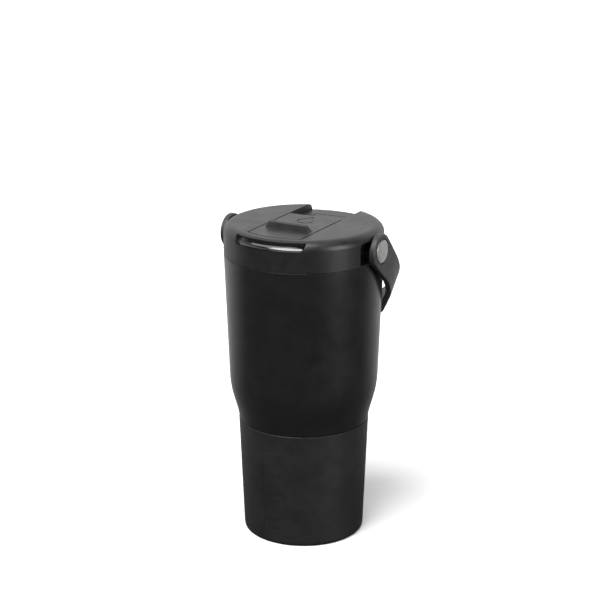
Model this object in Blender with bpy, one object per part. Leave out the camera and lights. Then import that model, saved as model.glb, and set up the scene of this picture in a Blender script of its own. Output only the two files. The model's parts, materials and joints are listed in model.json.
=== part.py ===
"""Insulated travel mug: a vacuum-walled steel cup in a moulded base boot, with a screw-on
lid that has a flip-open drinking plate and a carry bail hung on two shoulder bolts.

Units are metres. +Z is up, the drinking side faces -Y, and the bail turns about X.
The origin is the centre of the foot, on the surface that the mug stands on."""

import math

import bmesh
import bpy
from mathutils import Matrix, Vector

mm = 0.001

# Cup and base boot
FOOT_INSET = 10.9 * mm
FOOT_CHAMFER = 0.6 * mm
FOOT_CHAMFER_HEIGHT = 1.5 * mm
BOOT_HEIGHT = 71.4 * mm
BOOT_TOP_INSET = 8.1 * mm
BOOT_WALL = 1.7 * mm
BOOT_FLOOR = 2.7 * mm
BOOT_EDGE = 0.4 * mm
FOOT_PAD_INSET = 18.2 * mm
FOOT_PAD_THICKNESS = 1.2 * mm
WAIST_INSET = 8.35 * mm
SHOULDER_INSET = 2.8 * mm
SHOULDER_HEIGHT = 99.0 * mm
RIM_RADIUS = 47.4 * mm
RIM_HEIGHT = 174.0 * mm
SHELL_WALL = 0.8 * mm
VESSEL_WALL = 0.8 * mm
RIM_WIDTH = 4.0 * mm
NECK_BELOW_PLUG = 3.0 * mm
LOWER_WALL_BUILD = 5.6 * mm
VESSEL_FLOOR_HEIGHT = 9.0 * mm
VESSEL_FLOOR_FILLET = 6.0 * mm
BASE_DISC_THICKNESS = 0.8 * mm
BASE_DISC_HEIGHT = 5.0 * mm
SEAL_CAP_RADIUS = 5.0 * mm
GETTER_RADIUS = 6.0 * mm

# Lid shell
SEAM = 0.3 * mm
LID_HEIGHT = 18.1 * mm
LID_WALL = 2.2 * mm
LID_TOP_WALL = 2.8 * mm
LID_FILLET = 5.6 * mm
PLATE_HALF_WIDTH = 17.0 * mm
PLATE_FRONT_RADIUS = 39.1 * mm
PLATE_GAP = 0.8 * mm
PLATE_THICKNESS = 3.5 * mm
PLATE_LIFT = 0.5 * mm
NOTCH_LIP_INSET = 2.6 * mm
NOTCH_LIP_THICKNESS = 1.7 * mm
NOTCH_LIP_WIDTH = 2.9 * mm
NOTCH_DROP = 6.1 * mm
NOTCH_HALF_ANGLE = math.radians(31)
NOTCH_END_SLANT = math.radians(3.5)
DECK_DROP = 4.4 * mm
TRAY_WALL = 2.0 * mm
COVER_HALF_WIDTH = 10.5 * mm
COVER_LENGTH = 15.5 * mm
COVER_THICKNESS = 1.4 * mm
COVER_CORNER = 2.5 * mm

# Flip hinge
HINGE_Y = 13.5 * mm
BARREL_RADIUS = 3.9 * mm
TROUGH_CLEARANCE = 0.7 * mm
HINGE_PIN_RADIUS = 1.25 * mm

# Thumb rib on the flip plate
RIB_FRONT_Y = -21.0 * mm
RIB_BASE_DEPTH = 5.4 * mm
RIB_BASE_HALF_WIDTH = 15.5 * mm
RIB_RIDGE_HALF_WIDTH = 12.5 * mm
RIB_RIDGE_DEPTH = 1.6 * mm
RIB_FRONT_LEAN = 1.0 * mm
RIB_HEIGHT = 3.8 * mm

# Spout and vent
SPOUT_Y = -30.0 * mm
SPOUT_HALF_LENGTH = 9.0 * mm
SPOUT_HALF_WIDTH = 4.5 * mm
DUCT_WALL = 1.5 * mm
STOPPER_DEPTH = 3.9 * mm
STOPPER_FLANGE = 2.0 * mm
STOPPER_FLANGE_THICKNESS = 0.95 * mm
VENT_Y = -4.0 * mm
VENT_RADIUS = 1.6 * mm
VENT_WALL = 1.4 * mm
VENT_FLANGE = 1.6 * mm
VENT_STOPPER_DEPTH = 1.8 * mm

# Lid core, its plug and the screw thread
PLUG_DEPTH = 23.5 * mm
PLUG_WALL = 2.0 * mm
CORE_ROOF = 2.0 * mm
COVE_DEPTH = 2.6 * mm
LINER_THICKNESS = 1.8 * mm
LINER_SEAL_WIDTH = 1.6 * mm
LINER_SEAL_HEIGHT = 1.2 * mm
GASKET_HEIGHT = 3.4 * mm
GASKET_WIDTH = 1.2 * mm
THREAD_STARTS = 3
THREAD_LEAD = 12.0 * mm
THREAD_DEPTH = 1.3 * mm
THREAD_ROOT_WIDTH = 1.6 * mm
THREAD_CREST_WIDTH = 0.9 * mm
THREAD_SWEEP = math.radians(116)
THREAD_CLEARANCE = 0.5 * mm
THREAD_BELOW_RIM = 11.5 * mm

# Side recesses, pivots and the bail
PIVOT_RISE = 6.7 * mm
RECESS_HALF_WIDTH = 15.0 * mm
RECESS_RISE = 7.0 * mm
RECESS_DEPTH = 3.7 * mm
RECESS_CORNER = 2.5 * mm
BOSS_RADIUS = 6.0 * mm
INSERT_RADIUS = 2.9 * mm
INSERT_LENGTH = 9.0 * mm
BOLT_HEAD_RADIUS = 7.0 * mm
BOLT_HEAD_THICKNESS = 1.8 * mm
BOLT_HEAD_PROUD = 0.4 * mm
BOLT_SHOULDER_RADIUS = 4.0 * mm
BOLT_SHANK_RADIUS = 1.5 * mm
SPANNER_NOTCH = 0.8 * mm
BUSH_WALL = 1.3 * mm
BUSH_FLANGE_THICKNESS = 0.6 * mm
BUSH_FLANGE_RADIUS = 6.7 * mm
BAIL_REST_ANGLE = math.radians(43.5)
BAIL_THICKNESS = 3.6 * mm
BAIL_WIDTH = 18.0 * mm
BAIL_SIDE_GAP = 0.5 * mm
EAR_PROUD = 0.1 * mm
EAR_RADIUS = 10.4 * mm
ARM_LENGTH = 30.0 * mm
ARM_FILLET = 56.0 * mm
KNEE_INSET = 20.5 * mm
KNEE_ROOM = 1.4 * mm
KNEE_FILLET = 36.0 * mm
FINGER_ROOM = 16.0 * mm
CROSSBAR_FILLET = 30.0 * mm

# Gaps
FIT = 0.3 * mm
STOPPER_FIT = 0.4 * mm
CUT = 2.0 * mm

SEGMENTS = 60
SMALL_SEGMENTS = 24

# Levels and radii that follow from the sizes above
foot_radius = RIM_RADIUS - FOOT_INSET
foot_pad_radius = RIM_RADIUS - FOOT_PAD_INSET
boot_top_radius = RIM_RADIUS - BOOT_TOP_INSET
waist_radius = RIM_RADIUS - WAIST_INSET
shoulder_radius = RIM_RADIUS - SHOULDER_INSET
seat_z = RIM_HEIGHT + SEAM
top_z = seat_z + LID_HEIGHT
shoulder_z = top_z - LID_FILLET
void_z = top_z - LID_TOP_WALL
deck_z = top_z - DECK_DROP
notch_z = top_z - NOTCH_DROP
plate_bottom_z = top_z - PLATE_THICKNESS
platform_z = plate_bottom_z - PLATE_LIFT
hinge_z = top_z - BARREL_RADIUS
trough_radius = BARREL_RADIUS + TROUGH_CLEARANCE
tray_bottom_z = hinge_z - trough_radius - TRAY_WALL
core_top_z = tray_bottom_z - FIT
plug_bottom_z = seat_z - PLUG_DEPTH
pivot_z = seat_z + PIVOT_RISE
lid_radius = RIM_RADIUS
lid_inner_radius = lid_radius - LID_WALL
core_radius = lid_inner_radius - FIT
channel_half_width = PLATE_HALF_WIDTH + PLATE_GAP
pocket_radius = PLATE_FRONT_RADIUS + PLATE_GAP
notch_lip_radius = lid_radius - NOTCH_LIP_INSET
tray_half_width = channel_half_width + TRAY_WALL
neck_radius = RIM_RADIUS - RIM_WIDTH
plug_radius = neck_radius - THREAD_DEPTH - THREAD_CLEARANCE
plug_inner_radius = plug_radius - PLUG_WALL
pad_x = lid_radius - RECESS_DEPTH
ear_inner_x = lid_radius + BAIL_SIDE_GAP
ear_outer_x = ear_inner_x + BAIL_THICKNESS + 2 * EAR_PROUD
flange_inner_x = ear_inner_x - FIT - BUSH_FLANGE_THICKNESS
boss_end_x = flange_inner_x - FIT
head_outer_x = ear_outer_x + BOLT_HEAD_PROUD
head_inner_x = head_outer_x - BOLT_HEAD_THICKNESS
bush_radius = BOLT_SHOULDER_RADIUS + FIT + BUSH_WALL


def clear_scene():
    for obj in list(bpy.data.objects):
        bpy.data.objects.remove(obj, do_unlink=True)


def make_material(name, color, roughness, metallic=0.0):
    material = bpy.data.materials.new(name)
    material.use_nodes = True
    shader = material.node_tree.nodes["Principled BSDF"]
    shader.inputs["Base Color"].default_value = (*color, 1.0)
    shader.inputs["Roughness"].default_value = roughness
    shader.inputs["Metallic"].default_value = metallic
    return material


def finish_mesh(name, mesh_data, material=None, parent=None):
    """Makes an object from a bmesh, with its faces out, and hangs it on its parent."""
    bmesh.ops.remove_doubles(mesh_data, verts=mesh_data.verts, dist=1e-7)
    bmesh.ops.recalc_face_normals(mesh_data, faces=mesh_data.faces)
    mesh = bpy.data.meshes.new(name)
    mesh_data.to_mesh(mesh)
    mesh_data.free()
    mesh.shade_smooth()
    mesh.set_sharp_from_angle(angle=math.radians(30))
    obj = bpy.data.objects.new(name, mesh)
    bpy.context.scene.collection.objects.link(obj)
    if material is not None:
        mesh.materials.append(material)
    if parent is not None:
        obj.parent = parent
        obj.matrix_parent_inverse = parent.matrix_basis.inverted()
    return obj


def as_helper(obj):
    obj.hide_render = True
    obj.display_type = "WIRE"
    return obj


def add_boolean(obj, other, operation):
    as_helper(other)
    modifier = obj.modifiers.new(operation.title() + " " + other.name, "BOOLEAN")
    modifier.operation = operation
    modifier.solver = "EXACT"
    modifier.object = other


def cut_away(obj, *cutters):
    for cutter in cutters:
        add_boolean(obj, cutter, "DIFFERENCE")


def join_on(obj, *others):
    for other in others:
        add_boolean(obj, other, "UNION")


def lathe(profile, segments=SEGMENTS):
    """Turns a closed (radius, height) profile about Z. Points on the axis become poles."""
    shape = bmesh.new()
    verts = [shape.verts.new((radius, 0, height)) for radius, height in profile]
    edges = []
    for start, end in zip(verts, verts[1:] + verts[:1]):
        if start.co.x > 0 or end.co.x > 0:
            edges.append(shape.edges.new((start, end)))
    bmesh.ops.spin(shape, geom=verts + edges, cent=(0, 0, 0), axis=(0, 0, 1),
                   angle=2 * math.pi, steps=segments, use_merge=True, use_duplicate=False)
    bmesh.ops.remove_doubles(shape, verts=shape.verts, dist=1e-7)
    return shape


def sweep_profile(profile, start_angle, sweep, steps, rise=0.0, base=0.0):
    """Sweeps a filled (radius, height) profile through part of a turn, climbing as it goes."""
    shape = bmesh.new()
    verts = [shape.verts.new((radius, 0, base + height)) for radius, height in profile]
    face = shape.faces.new(verts)
    bmesh.ops.rotate(shape, verts=verts, cent=(0, 0, 0),
                     matrix=Matrix.Rotation(start_angle, 3, "Z"))
    bmesh.ops.spin(shape, geom=[face] + list(face.edges) + verts, cent=(0, 0, 0),
                   axis=(0, 0, 1), dvec=(0, 0, rise / steps), angle=sweep, steps=steps,
                   use_duplicate=False)
    return shape


def prism(outline, bottom, top):
    """Extrudes an (x, y) outline between two heights."""
    shape = bmesh.new()
    face = shape.faces.new([shape.verts.new((x, y, bottom)) for x, y in outline])
    grown = bmesh.ops.extrude_face_region(shape, geom=[face])
    moved = [item for item in grown["geom"] if isinstance(item, bmesh.types.BMVert)]
    bmesh.ops.translate(shape, verts=moved, vec=(0, 0, top - bottom))
    return shape


def side_prism(outline, left, right):
    """Extrudes a (y, z) outline along X."""
    shape = bmesh.new()
    face = shape.faces.new([shape.verts.new((left, y, z)) for y, z in outline])
    grown = bmesh.ops.extrude_face_region(shape, geom=[face])
    moved = [item for item in grown["geom"] if isinstance(item, bmesh.types.BMVert)]
    bmesh.ops.translate(shape, verts=moved, vec=(right - left, 0, 0))
    return shape


def block(low, high):
    return prism([(low[0], low[1]), (high[0], low[1]), (high[0], high[1]), (low[0], high[1])],
                 low[2], high[2])


def arc_points(centre, radius, start, end, steps):
    """Points on an arc, from one angle to another, both included."""
    return [(centre[0] + radius * math.cos(start + (end - start) * i / steps),
             centre[1] + radius * math.sin(start + (end - start) * i / steps))
            for i in range(steps + 1)]


def rounded_box(half_x, low_y, high_y, corner, steps=4):
    """A rectangle about the Y axis with round corners."""
    quarter = math.pi / 2
    corners = [(half_x - corner, high_y - corner), (corner - half_x, high_y - corner),
               (corner - half_x, low_y + corner), (half_x - corner, low_y + corner)]
    outline = []
    for turn, centre in enumerate(corners):
        outline += arc_points(centre, corner, turn * quarter, (turn + 1) * quarter, steps)
    return outline


def stadium(half_length, half_width, centre_y, steps=8):
    """A slot with round ends, long in X."""
    flat = half_length - half_width
    right = arc_points((flat, centre_y), half_width, -math.pi / 2, math.pi / 2, steps)
    left = arc_points((-flat, centre_y), half_width, math.pi / 2, 1.5 * math.pi, steps)
    return right + left


def rod(radius, start_x, end_x, segments=SMALL_SEGMENTS, y=0.0, z=0.0):
    """A cylinder along X."""
    outline = arc_points((y, z), radius, 0, 2 * math.pi, segments)[:-1]
    return side_prism(outline, min(start_x, end_x), max(start_x, end_x))


def turned_along_x(profile, side, segments=SMALL_SEGMENTS, z=0.0):
    """Turns an (x, radius) profile about X, on the right (side 1) or the left (side -1)."""
    shape = lathe([(radius, x) for x, radius in profile], segments)
    turn = Matrix.Rotation(math.pi / 2, 3, "Y")
    bmesh.ops.rotate(shape, verts=shape.verts, cent=(0, 0, 0), matrix=turn)
    bmesh.ops.scale(shape, verts=shape.verts, vec=(side, 1, 1))
    bmesh.ops.translate(shape, verts=shape.verts, vec=(0, 0, z))
    return shape


def bezier(start, first, second, end, steps):
    """Points on a cubic curve, its start left out."""
    points = []
    for i in range(1, steps + 1):
        t = i / steps
        u = 1 - t
        weights = (u ** 3, 3 * u * u * t, 3 * u * t * t, t ** 3)
        points.append(tuple(sum(w * p[k] for w, p in zip(weights, (start, first, second, end)))
                            for k in range(2)))
    return points


def rounded_path(points, radii, steps=8):
    """An open path whose inner corners are replaced by arcs of the given radii."""
    path = [Vector(points[0])]
    for i, radius in enumerate(radii, 1):
        corner = Vector(points[i])
        back = (Vector(points[i - 1]) - corner).normalized()
        ahead = (Vector(points[i + 1]) - corner).normalized()
        half = back.angle(ahead) / 2
        centre = corner + (back + ahead).normalized() * radius / math.sin(half)
        first = corner + back * radius / math.tan(half) - centre
        last = corner + ahead * radius / math.tan(half) - centre
        sweep = first.angle_signed(last)
        for step in range(steps + 1):
            path.append(centre + Matrix.Rotation(-sweep * step / steps, 2) @ first)
    path.append(Vector(points[-1]))
    return path


def boot_radius(z):
    """The boot's outer radius at a height above the foot's chamfer."""
    share = (z - FOOT_CHAMFER_HEIGHT) / (BOOT_HEIGHT - FOOT_CHAMFER_HEIGHT)
    return foot_radius + (boot_top_radius - foot_radius) * share


def make_boot(material):
    """The moulded boot: an outer sleeve with a floor, and a shallow recess for the foot pad."""
    recess_radius = foot_pad_radius + FIT
    recess_depth = FOOT_PAD_THICKNESS + FIT
    inside_foot = boot_radius(BOOT_FLOOR) - BOOT_WALL
    inside_top = boot_top_radius - BOOT_WALL
    profile = [(0, BOOT_FLOOR), (inside_foot, BOOT_FLOOR), (inside_top, BOOT_HEIGHT),
               (boot_top_radius - BOOT_EDGE, BOOT_HEIGHT),
               (boot_top_radius, BOOT_HEIGHT - BOOT_EDGE),
               (foot_radius, FOOT_CHAMFER_HEIGHT), (foot_radius - FOOT_CHAMFER, 0),
               (recess_radius, 0), (recess_radius, recess_depth), (0, recess_depth)]
    return finish_mesh("base_boot", lathe(profile), material)


def make_foot_pad(material):
    profile = [(0, FOOT_PAD_THICKNESS), (foot_pad_radius, FOOT_PAD_THICKNESS),
               (foot_pad_radius, 0), (0, 0)]
    return finish_mesh("foot_pad", lathe(profile), material)


def body_curve():
    """The body's outer outline from the boot up to the rim."""
    waist = (waist_radius, BOOT_HEIGHT + FIT)
    shoulder = (shoulder_radius, SHOULDER_HEIGHT)
    rise = SHOULDER_HEIGHT - waist[1]
    lean = (shoulder_radius - waist_radius) * 0.26
    first = (waist_radius + lean, waist[1] + rise * 0.36)
    second = (shoulder_radius - lean * 0.28, SHOULDER_HEIGHT - rise * 0.44)
    return [waist] + bezier(waist, first, second, shoulder, 6) + [(RIM_RADIUS, RIM_HEIGHT)]


def shell_foot_radius():
    """The outer shell's outer radius at its open lower end, inside the boot."""
    return boot_radius(BOOT_FLOOR + FIT) - BOOT_WALL - FIT


def make_outer_shell(material):
    """The outer steel wall, stepped in at the boot so that both surfaces line up."""
    step_radius = boot_top_radius - BOOT_WALL - FIT
    outside = body_curve()[::-1]
    outside += [(step_radius, BOOT_HEIGHT + FIT), (shell_foot_radius(), BOOT_FLOOR + FIT)]
    inside = [(shell_foot_radius() - SHELL_WALL, BOOT_FLOOR + FIT),
              (step_radius - SHELL_WALL, BOOT_HEIGHT + FIT + SHELL_WALL)]
    inside += [(radius - SHELL_WALL, z) for radius, z in body_curve()[1:]]
    return finish_mesh("outer_shell", lathe(outside + inside), material)


def vessel_profile():
    """The inner vessel's inner surface, from the centre of its floor up to the rim."""
    low_radius = foot_radius - LOWER_WALL_BUILD
    waist = (boot_top_radius - LOWER_WALL_BUILD, BOOT_HEIGHT - LOWER_WALL_BUILD)
    shoulder = (shoulder_radius - RIM_WIDTH, SHOULDER_HEIGHT)
    rise = shoulder[1] - waist[1]
    centre = (low_radius - VESSEL_FLOOR_FILLET, VESSEL_FLOOR_HEIGHT + VESSEL_FLOOR_FILLET)
    points = [(0, VESSEL_FLOOR_HEIGHT)]
    points += arc_points(centre, VESSEL_FLOOR_FILLET, -math.pi / 2, 0, 3)
    points.append(waist)
    points += bezier(waist, (waist[0] + 0.8 * mm, waist[1] + rise * 0.35),
                     (shoulder[0] - 0.4 * mm, shoulder[1] - rise * 0.4), shoulder, 4)
    points += [(neck_radius, plug_bottom_z - NECK_BELOW_PLUG), (neck_radius, RIM_HEIGHT)]
    return points


def make_inner_vessel(material):
    """The inner steel wall with its rolled lip and the raised thread in its neck."""
    inside = vessel_profile()
    lip_edge = RIM_RADIUS - SHELL_WALL - FIT
    outside = [(radius + VESSEL_WALL, z) for radius, z in inside[2:-1]]
    outside = [(0, VESSEL_FLOOR_HEIGHT - VESSEL_WALL),
               (inside[1][0], VESSEL_FLOOR_HEIGHT - VESSEL_WALL)] + outside
    outside += [(neck_radius + VESSEL_WALL, RIM_HEIGHT - VESSEL_WALL),
                (lip_edge, RIM_HEIGHT - VESSEL_WALL), (lip_edge, RIM_HEIGHT)]
    vessel = finish_mesh("inner_vessel", lathe(inside + outside[::-1]), material)
    root = neck_radius + VESSEL_WALL / 2
    crest = neck_radius - THREAD_DEPTH
    for start in range(THREAD_STARTS):
        ridge = thread_ridge(crest, root, start, RIM_HEIGHT - THREAD_BELOW_RIM)
        join_on(vessel, finish_mesh("neck_thread_%d" % start, ridge))
    return vessel


def thread_ridge(crest, root, start, base):
    """One start of a screw thread, from its crest radius to a root set inside its wall."""
    half_root = THREAD_ROOT_WIDTH / 2
    half_crest = THREAD_CREST_WIDTH / 2
    profile = [(root, -half_root), (crest, -half_crest), (crest, half_crest), (root, half_root)]
    steps = 10
    rise = THREAD_LEAD * THREAD_SWEEP / (2 * math.pi)
    return sweep_profile(profile, start * 2 * math.pi / THREAD_STARTS, THREAD_SWEEP, steps,
                         rise, base)


def make_vacuum_parts(steel, glass):
    """The welded base disc with its seal, and the getter that keeps the vacuum."""
    disc_radius = shell_foot_radius() - SHELL_WALL - FIT
    disc_top = BASE_DISC_HEIGHT + BASE_DISC_THICKNESS
    finish_mesh("shell_base_disc", lathe([(0, disc_top), (disc_radius, disc_top),
                                          (disc_radius, BASE_DISC_HEIGHT),
                                          (0, BASE_DISC_HEIGHT)]), steel)
    cap_top = BASE_DISC_HEIGHT - FIT
    cap_bottom = BOOT_FLOOR + 2 * FIT
    finish_mesh("vacuum_seal_cap", lathe([(0, cap_top), (SEAL_CAP_RADIUS, cap_top),
                                          (SEAL_CAP_RADIUS, cap_bottom), (0, cap_bottom)],
                                         SMALL_SEGMENTS), glass)
    getter_top = VESSEL_FLOOR_HEIGHT - VESSEL_WALL - FIT
    getter_bottom = disc_top + FIT
    finish_mesh("vacuum_getter", lathe([(0, getter_top), (GETTER_RADIUS, getter_top),
                                        (GETTER_RADIUS, getter_bottom), (0, getter_bottom)],
                                       SMALL_SEGMENTS), steel)


def channel_outline(half_width, front_radius, back_y):
    """A plan with straight sides, a back edge, and a front edge round the lid's axis."""
    corner = math.asin(half_width / front_radius)
    front = arc_points((0, 0), front_radius, -math.pi / 2 - corner, -math.pi / 2 + corner, 12)
    return front + [(half_width, back_y), (-half_width, back_y)]


def slant_ends(shape):
    """Draws in the lower part of a piece of the notch, so that its ends lean."""
    low = 1 - NOTCH_END_SLANT / NOTCH_HALF_ANGLE
    for vert in shape.verts:
        share = max(0.0, min(1.0, (vert.co.z - notch_z) / (top_z - notch_z)))
        ahead = math.atan2(vert.co.x, -vert.co.y)
        turn = Matrix.Rotation(ahead * (low - 1) * (1 - share), 3, "Z")
        vert.co = turn @ vert.co
    return shape


def make_lid_shell(material, axis):
    """The matte outer cap: skirt, top wings, rear deck with the hinge trough, and cut-outs."""
    edge = lid_radius - LID_FILLET
    inner_fillet = LID_FILLET - LID_WALL
    inner_centre = (lid_inner_radius - inner_fillet, void_z - inner_fillet)
    outside = [(0, top_z)] + arc_points((edge, shoulder_z), LID_FILLET, math.pi / 2, 0, 8)
    outside += [(lid_radius, seat_z)]
    inside = [(lid_inner_radius, seat_z)]
    inside += arc_points(inner_centre, inner_fillet, 0, math.pi / 2, 4) + [(0, void_z)]
    shell = finish_mesh("lid_shell", lathe(outside + inside), material, axis)

    tray_front = HINGE_Y - trough_radius - TRAY_WALL / 2
    trough_back = HINGE_Y + trough_radius + TRAY_WALL
    plan = channel_outline(tray_half_width, lid_inner_radius + LID_WALL / 2, -tray_front)
    tray = prism([(x, -y) for x, y in plan], deck_z - TRAY_WALL, void_z + LID_TOP_WALL / 2)
    trough_block = block((-tray_half_width, tray_front, tray_bottom_z),
                         (tray_half_width, trough_back, deck_z - TRAY_WALL / 2))
    join_on(shell, finish_mesh("tray", tray), finish_mesh("trough_block", trough_block))

    opening = prism(channel_outline(channel_half_width, pocket_radius, tray_front - FIT),
                    core_top_z, top_z + CUT)
    deck = block((-channel_half_width, tray_front - CUT, deck_z),
                 (channel_half_width, lid_radius + CUT, top_z + CUT))
    trough = rod(trough_radius, -channel_half_width, channel_half_width, y=HINGE_Y, z=hinge_z)
    cover_front = trough_back
    pocket = prism(rounded_box(COVER_HALF_WIDTH + FIT, cover_front - FIT,
                               cover_front + COVER_LENGTH + FIT, COVER_CORNER),
                   deck_z - COVER_THICKNESS - FIT, deck_z + CUT)
    pin_hole = rod(HINGE_PIN_RADIUS + FIT, -tray_half_width - CUT, tray_half_width + CUT,
                   y=HINGE_Y, z=hinge_z)
    cut_away(shell, finish_mesh("plate_opening", opening), finish_mesh("deck_cut", deck),
             finish_mesh("trough_cut", trough), finish_mesh("cover_pocket", pocket),
             finish_mesh("pin_hole", pin_hole))

    front = -math.pi / 2
    lip_under_z = top_z - NOTCH_LIP_THICKNESS
    notch = sweep_profile([(notch_lip_radius - NOTCH_LIP_WIDTH, notch_z),
                           (lid_radius + CUT, notch_z), (lid_radius + CUT, top_z + CUT),
                           (notch_lip_radius, top_z + CUT), (notch_lip_radius, lip_under_z),
                           (notch_lip_radius - NOTCH_LIP_WIDTH, lip_under_z)],
                          front - NOTCH_HALF_ANGLE, 2 * NOTCH_HALF_ANGLE, 16)
    cut_away(shell, finish_mesh("notch_cut", slant_ends(notch)))

    for side, label in ((1, "right"), (-1, "left")):
        outline = rounded_box(RECESS_HALF_WIDTH, seat_z - CUT - RECESS_CORNER,
                              pivot_z + RECESS_RISE, RECESS_CORNER)
        recess = side_prism(outline, side * (pad_x - 2 * CUT), side * (lid_radius + CUT))
        cut_away(shell, finish_mesh("recess_" + label, recess))
    return shell


def make_lid_core(material, axis):
    """The gloss inner moulding: plug and thread, platform, spout ledge and pivot pads."""
    roof_z = core_top_z - CORE_ROOF
    flange_z = seat_z + FIT
    gasket_top = seat_z - FIT
    profile = [(0, core_top_z), (core_radius, core_top_z), (core_radius, flange_z),
               (plug_radius, flange_z), (plug_radius, plug_bottom_z),
               (plug_inner_radius, plug_bottom_z), (plug_inner_radius, roof_z), (0, roof_z)]
    core = finish_mesh("lid_core", lathe(profile), material, axis)

    inset = channel_half_width - FIT
    tray_front = HINGE_Y - trough_radius - TRAY_WALL / 2
    platform = block((-inset, -pocket_radius, roof_z + CORE_ROOF / 2),
                     (inset, tray_front - FIT, platform_z))
    cove_low = (lid_radius - FIT, notch_z + FIT)
    cove_high = (notch_lip_radius - FIT, top_z - NOTCH_LIP_THICKNESS - FIT)
    ledge_inner = notch_lip_radius - NOTCH_LIP_WIDTH + FIT
    ledge_profile = [(ledge_inner, roof_z + CORE_ROOF / 2),
                     (core_radius, roof_z + CORE_ROOF / 2), (core_radius, notch_z + FIT),
                     cove_low]
    ledge_profile += bezier(cove_low, (cove_low[0] - COVE_DEPTH, cove_low[1]),
                            (cove_high[0] - COVE_DEPTH * 0.4, cove_high[1] - COVE_DEPTH * 0.7),
                            cove_high, 5)
    ledge_profile.append((ledge_inner, cove_high[1]))
    half = NOTCH_HALF_ANGLE - FIT / notch_lip_radius
    ledge = slant_ends(sweep_profile(ledge_profile, -math.pi / 2 - half, 2 * half, 16))
    join_on(core, finish_mesh("platform", platform), finish_mesh("spout_ledge", ledge))

    duct = prism(stadium(SPOUT_HALF_LENGTH + DUCT_WALL, SPOUT_HALF_WIDTH + DUCT_WALL, SPOUT_Y),
                 plug_bottom_z + LINER_THICKNESS + 2 * FIT, roof_z + CORE_ROOF / 2)
    vent_tube = prism(arc_points((0, VENT_Y), VENT_RADIUS + VENT_WALL, 0, 2 * math.pi, 20)[:-1],
                      plug_bottom_z + LINER_THICKNESS + 2 * FIT, roof_z + CORE_ROOF / 2)
    join_on(core, finish_mesh("spout_duct", duct), finish_mesh("vent_tube", vent_tube))

    for side, label in ((1, "right"), (-1, "left")):
        outline = rounded_box(RECESS_HALF_WIDTH - FIT, flange_z,
                              pivot_z + RECESS_RISE - FIT, RECESS_CORNER - FIT)
        pad = side_prism(outline, side * (plug_inner_radius + CUT / 2), side * pad_x)
        face_cut = block((min(side * pad_x, side * (lid_radius + CUT)), -RECESS_HALF_WIDTH,
                          seat_z - CUT),
                         (max(side * pad_x, side * (lid_radius + CUT)), RECESS_HALF_WIDTH,
                          top_z))
        boss = rod(BOSS_RADIUS, side * (pad_x - CUT), side * boss_end_x, z=pivot_z)
        join_on(core, finish_mesh("pad_" + label, pad))
        cut_away(core, finish_mesh("pad_face_" + label, face_cut))
        bore = rod(INSERT_RADIUS + FIT, side * (boss_end_x - INSERT_LENGTH - FIT),
                   side * (boss_end_x + CUT), z=pivot_z)
        join_on(core, finish_mesh("boss_" + label, boss))
        cut_away(core, finish_mesh("insert_bore_" + label, bore))

    spout = prism(stadium(SPOUT_HALF_LENGTH, SPOUT_HALF_WIDTH, SPOUT_Y),
                  plug_bottom_z - CUT, platform_z + CUT)
    vent = prism(arc_points((0, VENT_Y), VENT_RADIUS, 0, 2 * math.pi, 20)[:-1],
                 plug_bottom_z - CUT, platform_z + CUT)
    groove = lathe([(plug_radius - GASKET_WIDTH / 2, gasket_top + FIT),
                    (plug_radius + CUT, gasket_top + FIT),
                    (plug_radius + CUT, gasket_top - GASKET_HEIGHT - FIT),
                    (plug_radius - GASKET_WIDTH / 2, gasket_top - GASKET_HEIGHT - FIT)])
    cut_away(core, finish_mesh("spout_hole", spout), finish_mesh("vent_hole", vent),
             finish_mesh("gasket_groove", groove))

    thread_base = RIM_HEIGHT - THREAD_BELOW_RIM - THREAD_LEAD / THREAD_STARTS / 2
    for start in range(THREAD_STARTS):
        ridge = thread_ridge(plug_radius + THREAD_DEPTH, plug_radius - PLUG_WALL / 2, start,
                             thread_base)
        join_on(core, finish_mesh("plug_thread_%d" % start, ridge))
    return core


def make_gasket(material, axis):
    """The silicone ring in the plug's groove, which seals against the neck."""
    top = seat_z - FIT
    inner = plug_radius - GASKET_WIDTH / 2 + FIT
    outer = neck_radius - FIT
    waist = inner + GASKET_WIDTH / 2
    profile = [(inner, top), (outer, top), (outer, top - GASKET_HEIGHT * 0.25),
               (waist, top - GASKET_HEIGHT * 0.4), (waist, top - GASKET_HEIGHT * 0.6),
               (outer, top - GASKET_HEIGHT * 0.75), (outer, top - GASKET_HEIGHT),
               (inner, top - GASKET_HEIGHT)]
    return finish_mesh("lid_gasket", lathe(profile), material, axis)


def make_liner(plastic, silicone, axis):
    """The disc that closes the plug from below, and the ring that seals it."""
    radius = plug_inner_radius - FIT
    bottom = plug_bottom_z
    top = bottom + LINER_THICKNESS
    liner = finish_mesh("lid_liner", lathe([(0, top), (radius, top), (radius, bottom),
                                            (0, bottom)]), plastic, axis)
    spout = prism(stadium(SPOUT_HALF_LENGTH, SPOUT_HALF_WIDTH, SPOUT_Y), bottom - CUT, top + CUT)
    vent = prism(arc_points((0, VENT_Y), VENT_RADIUS, 0, 2 * math.pi, 20)[:-1],
                 bottom - CUT, top + CUT)
    cut_away(liner, finish_mesh("liner_spout", spout), finish_mesh("liner_vent", vent))
    low = top + FIT
    high = low + LINER_SEAL_HEIGHT
    finish_mesh("liner_seal", lathe([(radius - LINER_SEAL_WIDTH, high), (radius, high),
                                     (radius, low), (radius - LINER_SEAL_WIDTH, low)]),
                silicone, axis)


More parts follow.
